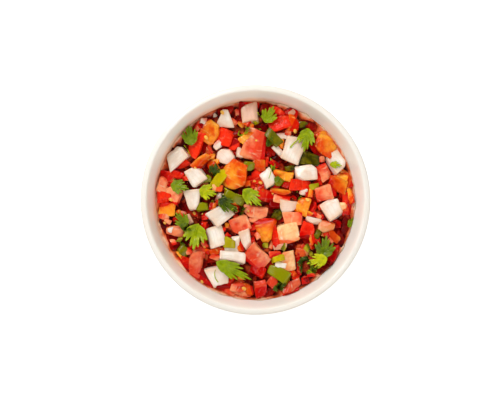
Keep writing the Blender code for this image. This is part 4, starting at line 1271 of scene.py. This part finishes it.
def make_stalks(green):
    """Thin stalks that lie over the dice, each bent through its three points and following what is under it."""
    points, edges, widths = [], [], []
    for row in STALKS:
        start, bend, finish = (np.array(row[i : i + 2]) * MM for i in (0, 2, 4))
        first, half = len(points), row[6] * MM / 2
        for step in range(STALK_STEPS + 1):
            t = step / STALK_STEPS
            x, y = start * (1 - t) ** 2 + 2 * bend * t * (1 - t) + finish * t * t
            points.append((x, y, height_on(FOOD, (x, y, 0.0), STALK_TOUCH) + half * STALK_LIFT))
            widths.append(half)
            if step:
                edges.append((first + step - 1, first + step))
    lines = mesh_of("stalk_lines", points, edges)
    keep_value(lines, "half_width", widths)
    values = {"Sides": STALK_SIDES, "Tip": STALK_TIP}
    stalks = grown("coriander_stalks", stalk_tree(green), lines, values, green)
    for label, value in (("tone", STALK_TONE), ("vein", STALK_VEIN)):
        keep_value(stalks.data, label, [value] * len(stalks.data.vertices))
    hand_over(facing_out(stalks))


# Seeds and pulp


def make_scatter(shapes, juice):
    """Loose seeds and pulp over the dice and the juice between them."""
    seed_look = plain_wet_material("tomato_seed", (244, 196, 84), (232, 160, 60))
    pulp_look = plain_wet_material("pulp", (214, 40, 18), (238, 92, 52))
    tomato = joined([shapes[f"tomato_{kind}_dice"] for kind in ("red", "pink", "orange")])
    tops = mesh_of("tomato_tops", tomato["points"], faces=tomato["faces"])
    for name, kind, material, detail, surface, numbers in (
        ("pulp_on_juice", "pulp bits", pulp_look, 1, juice.data.copy(), PULP),
        ("scattered_seeds", "tomato seeds", seed_look, 2, tops, SCATTERED_SEEDS),
    ):
        values = dict(zip(SCATTER_LABELS, numbers))
        hand_over(grown(name, scatter_tree(kind, material, detail), surface, values, material))
    whim = random.Random(SEED + 7)
    bm = bmesh.new()
    for x, y in ((x * MM, y * MM) for x, y in TOMATO_SEEDS):
        place = Matrix.Translation((x, y, height_on(FOOD, (x, y, 0.0), SEED_TOUCH) + SEED_SIZE[2] * SEED_LIFT))
        place @= Matrix.Rotation(whim.uniform(0, math.pi), 4, "Z")
        place @= Matrix.Rotation(whim.uniform(-SEED_TIP, SEED_TIP), 4, "Y") @ Matrix.Diagonal((*SEED_SIZE, 1.0))
        bmesh.ops.create_icosphere(bm, subdivisions=3, radius=1.0, matrix=place)
    mesh = bpy.data.meshes.new("tomato_seeds")
    bm.to_mesh(mesh)
    bm.free()
    hand_over(finished("tomato_seeds", mesh, seed_look))


# Studio


def facing(name, data, place, direction):
    """A light or a camera at a place, turned to look in a direction."""
    made = link(name, data)
    made.location = place
    made.rotation_euler = direction.to_track_quat("-Z", "Y").to_euler()
    return made


def make_studio():
    """A white table, a large soft light from the upper left, a warm fill all round, and the photograph's camera."""
    scene = bpy.context.scene
    scene.view_settings.view_transform = "Standard"
    scene.view_settings.look = "None"
    scene.world = bpy.data.worlds.new("studio")
    scene.world.use_nodes = True
    tree = scene.world.node_tree
    up = height_of(tree, add(tree, "TexCoord")["Generated"])
    strength = spread(tree, up, *SKY_EDGE, SKY_SIDES, SKY_TOP)
    feed(tree, tree.nodes["Background"], {"Color": ROOM_COLOUR, "Strength": strength})

    material = bpy.data.materials.new("table")
    material.use_nodes = True
    tree = material.node_tree
    glow = calc(tree, "MULTIPLY", add(tree, "LightPath")["Is Camera Ray"], TABLE_GLOW)
    inputs = {"Base Color": (TABLE_GREY, TABLE_GREY, TABLE_GREY, 1.0), "Roughness": 0.8,
              "Emission Color": (1.0, 1.0, 1.0, 1.0), "Emission Strength": glow}
    feed(tree, tree.nodes["Principled BSDF"], inputs)
    corners = [(x * TABLE_SIZE, y * TABLE_SIZE, 0.0) for x, y in ((-1, -1), (1, -1), (1, 1), (-1, 1))]
    piece("table", material, corners, [(0, 1, 2, 3)])

    target = Vector((0.0, 0.0, RIM_HEIGHT))
    for name, (place, size, power) in LIGHTS.items():
        light = bpy.data.lights.new(name, "AREA")
        light.shape, light.size, light.energy = "SQUARE", size, power
        facing(name, light, place, target - Vector(place))

    metres_per_pixel = 2 * RIM_RADIUS / RIM_PIXELS
    camera = bpy.data.cameras.new("camera")
    camera.sensor_width = SENSOR
    camera.lens = SENSOR * CAMERA_DISTANCE / (IMAGE_WIDTH * metres_per_pixel)
    camera.clip_start = 0.01
    right = (IMAGE_WIDTH / 2 - RIM_MIDDLE[0]) * metres_per_pixel
    back = (RIM_MIDDLE[1] - IMAGE_HEIGHT / 2) * metres_per_pixel
    away = Vector((0.0, -math.cos(CAMERA_ELEVATION), math.sin(CAMERA_ELEVATION)))
    scene.camera = facing("camera", camera, Vector((right, back, RIM_HEIGHT)) + away * CAMERA_DISTANCE, -away)


make_studio()
make_bowl()
dice = make_dice()
coriander = coriander_material()
make_leaves(coriander)
make_stalks(coriander)
make_scatter(dice, make_juice())
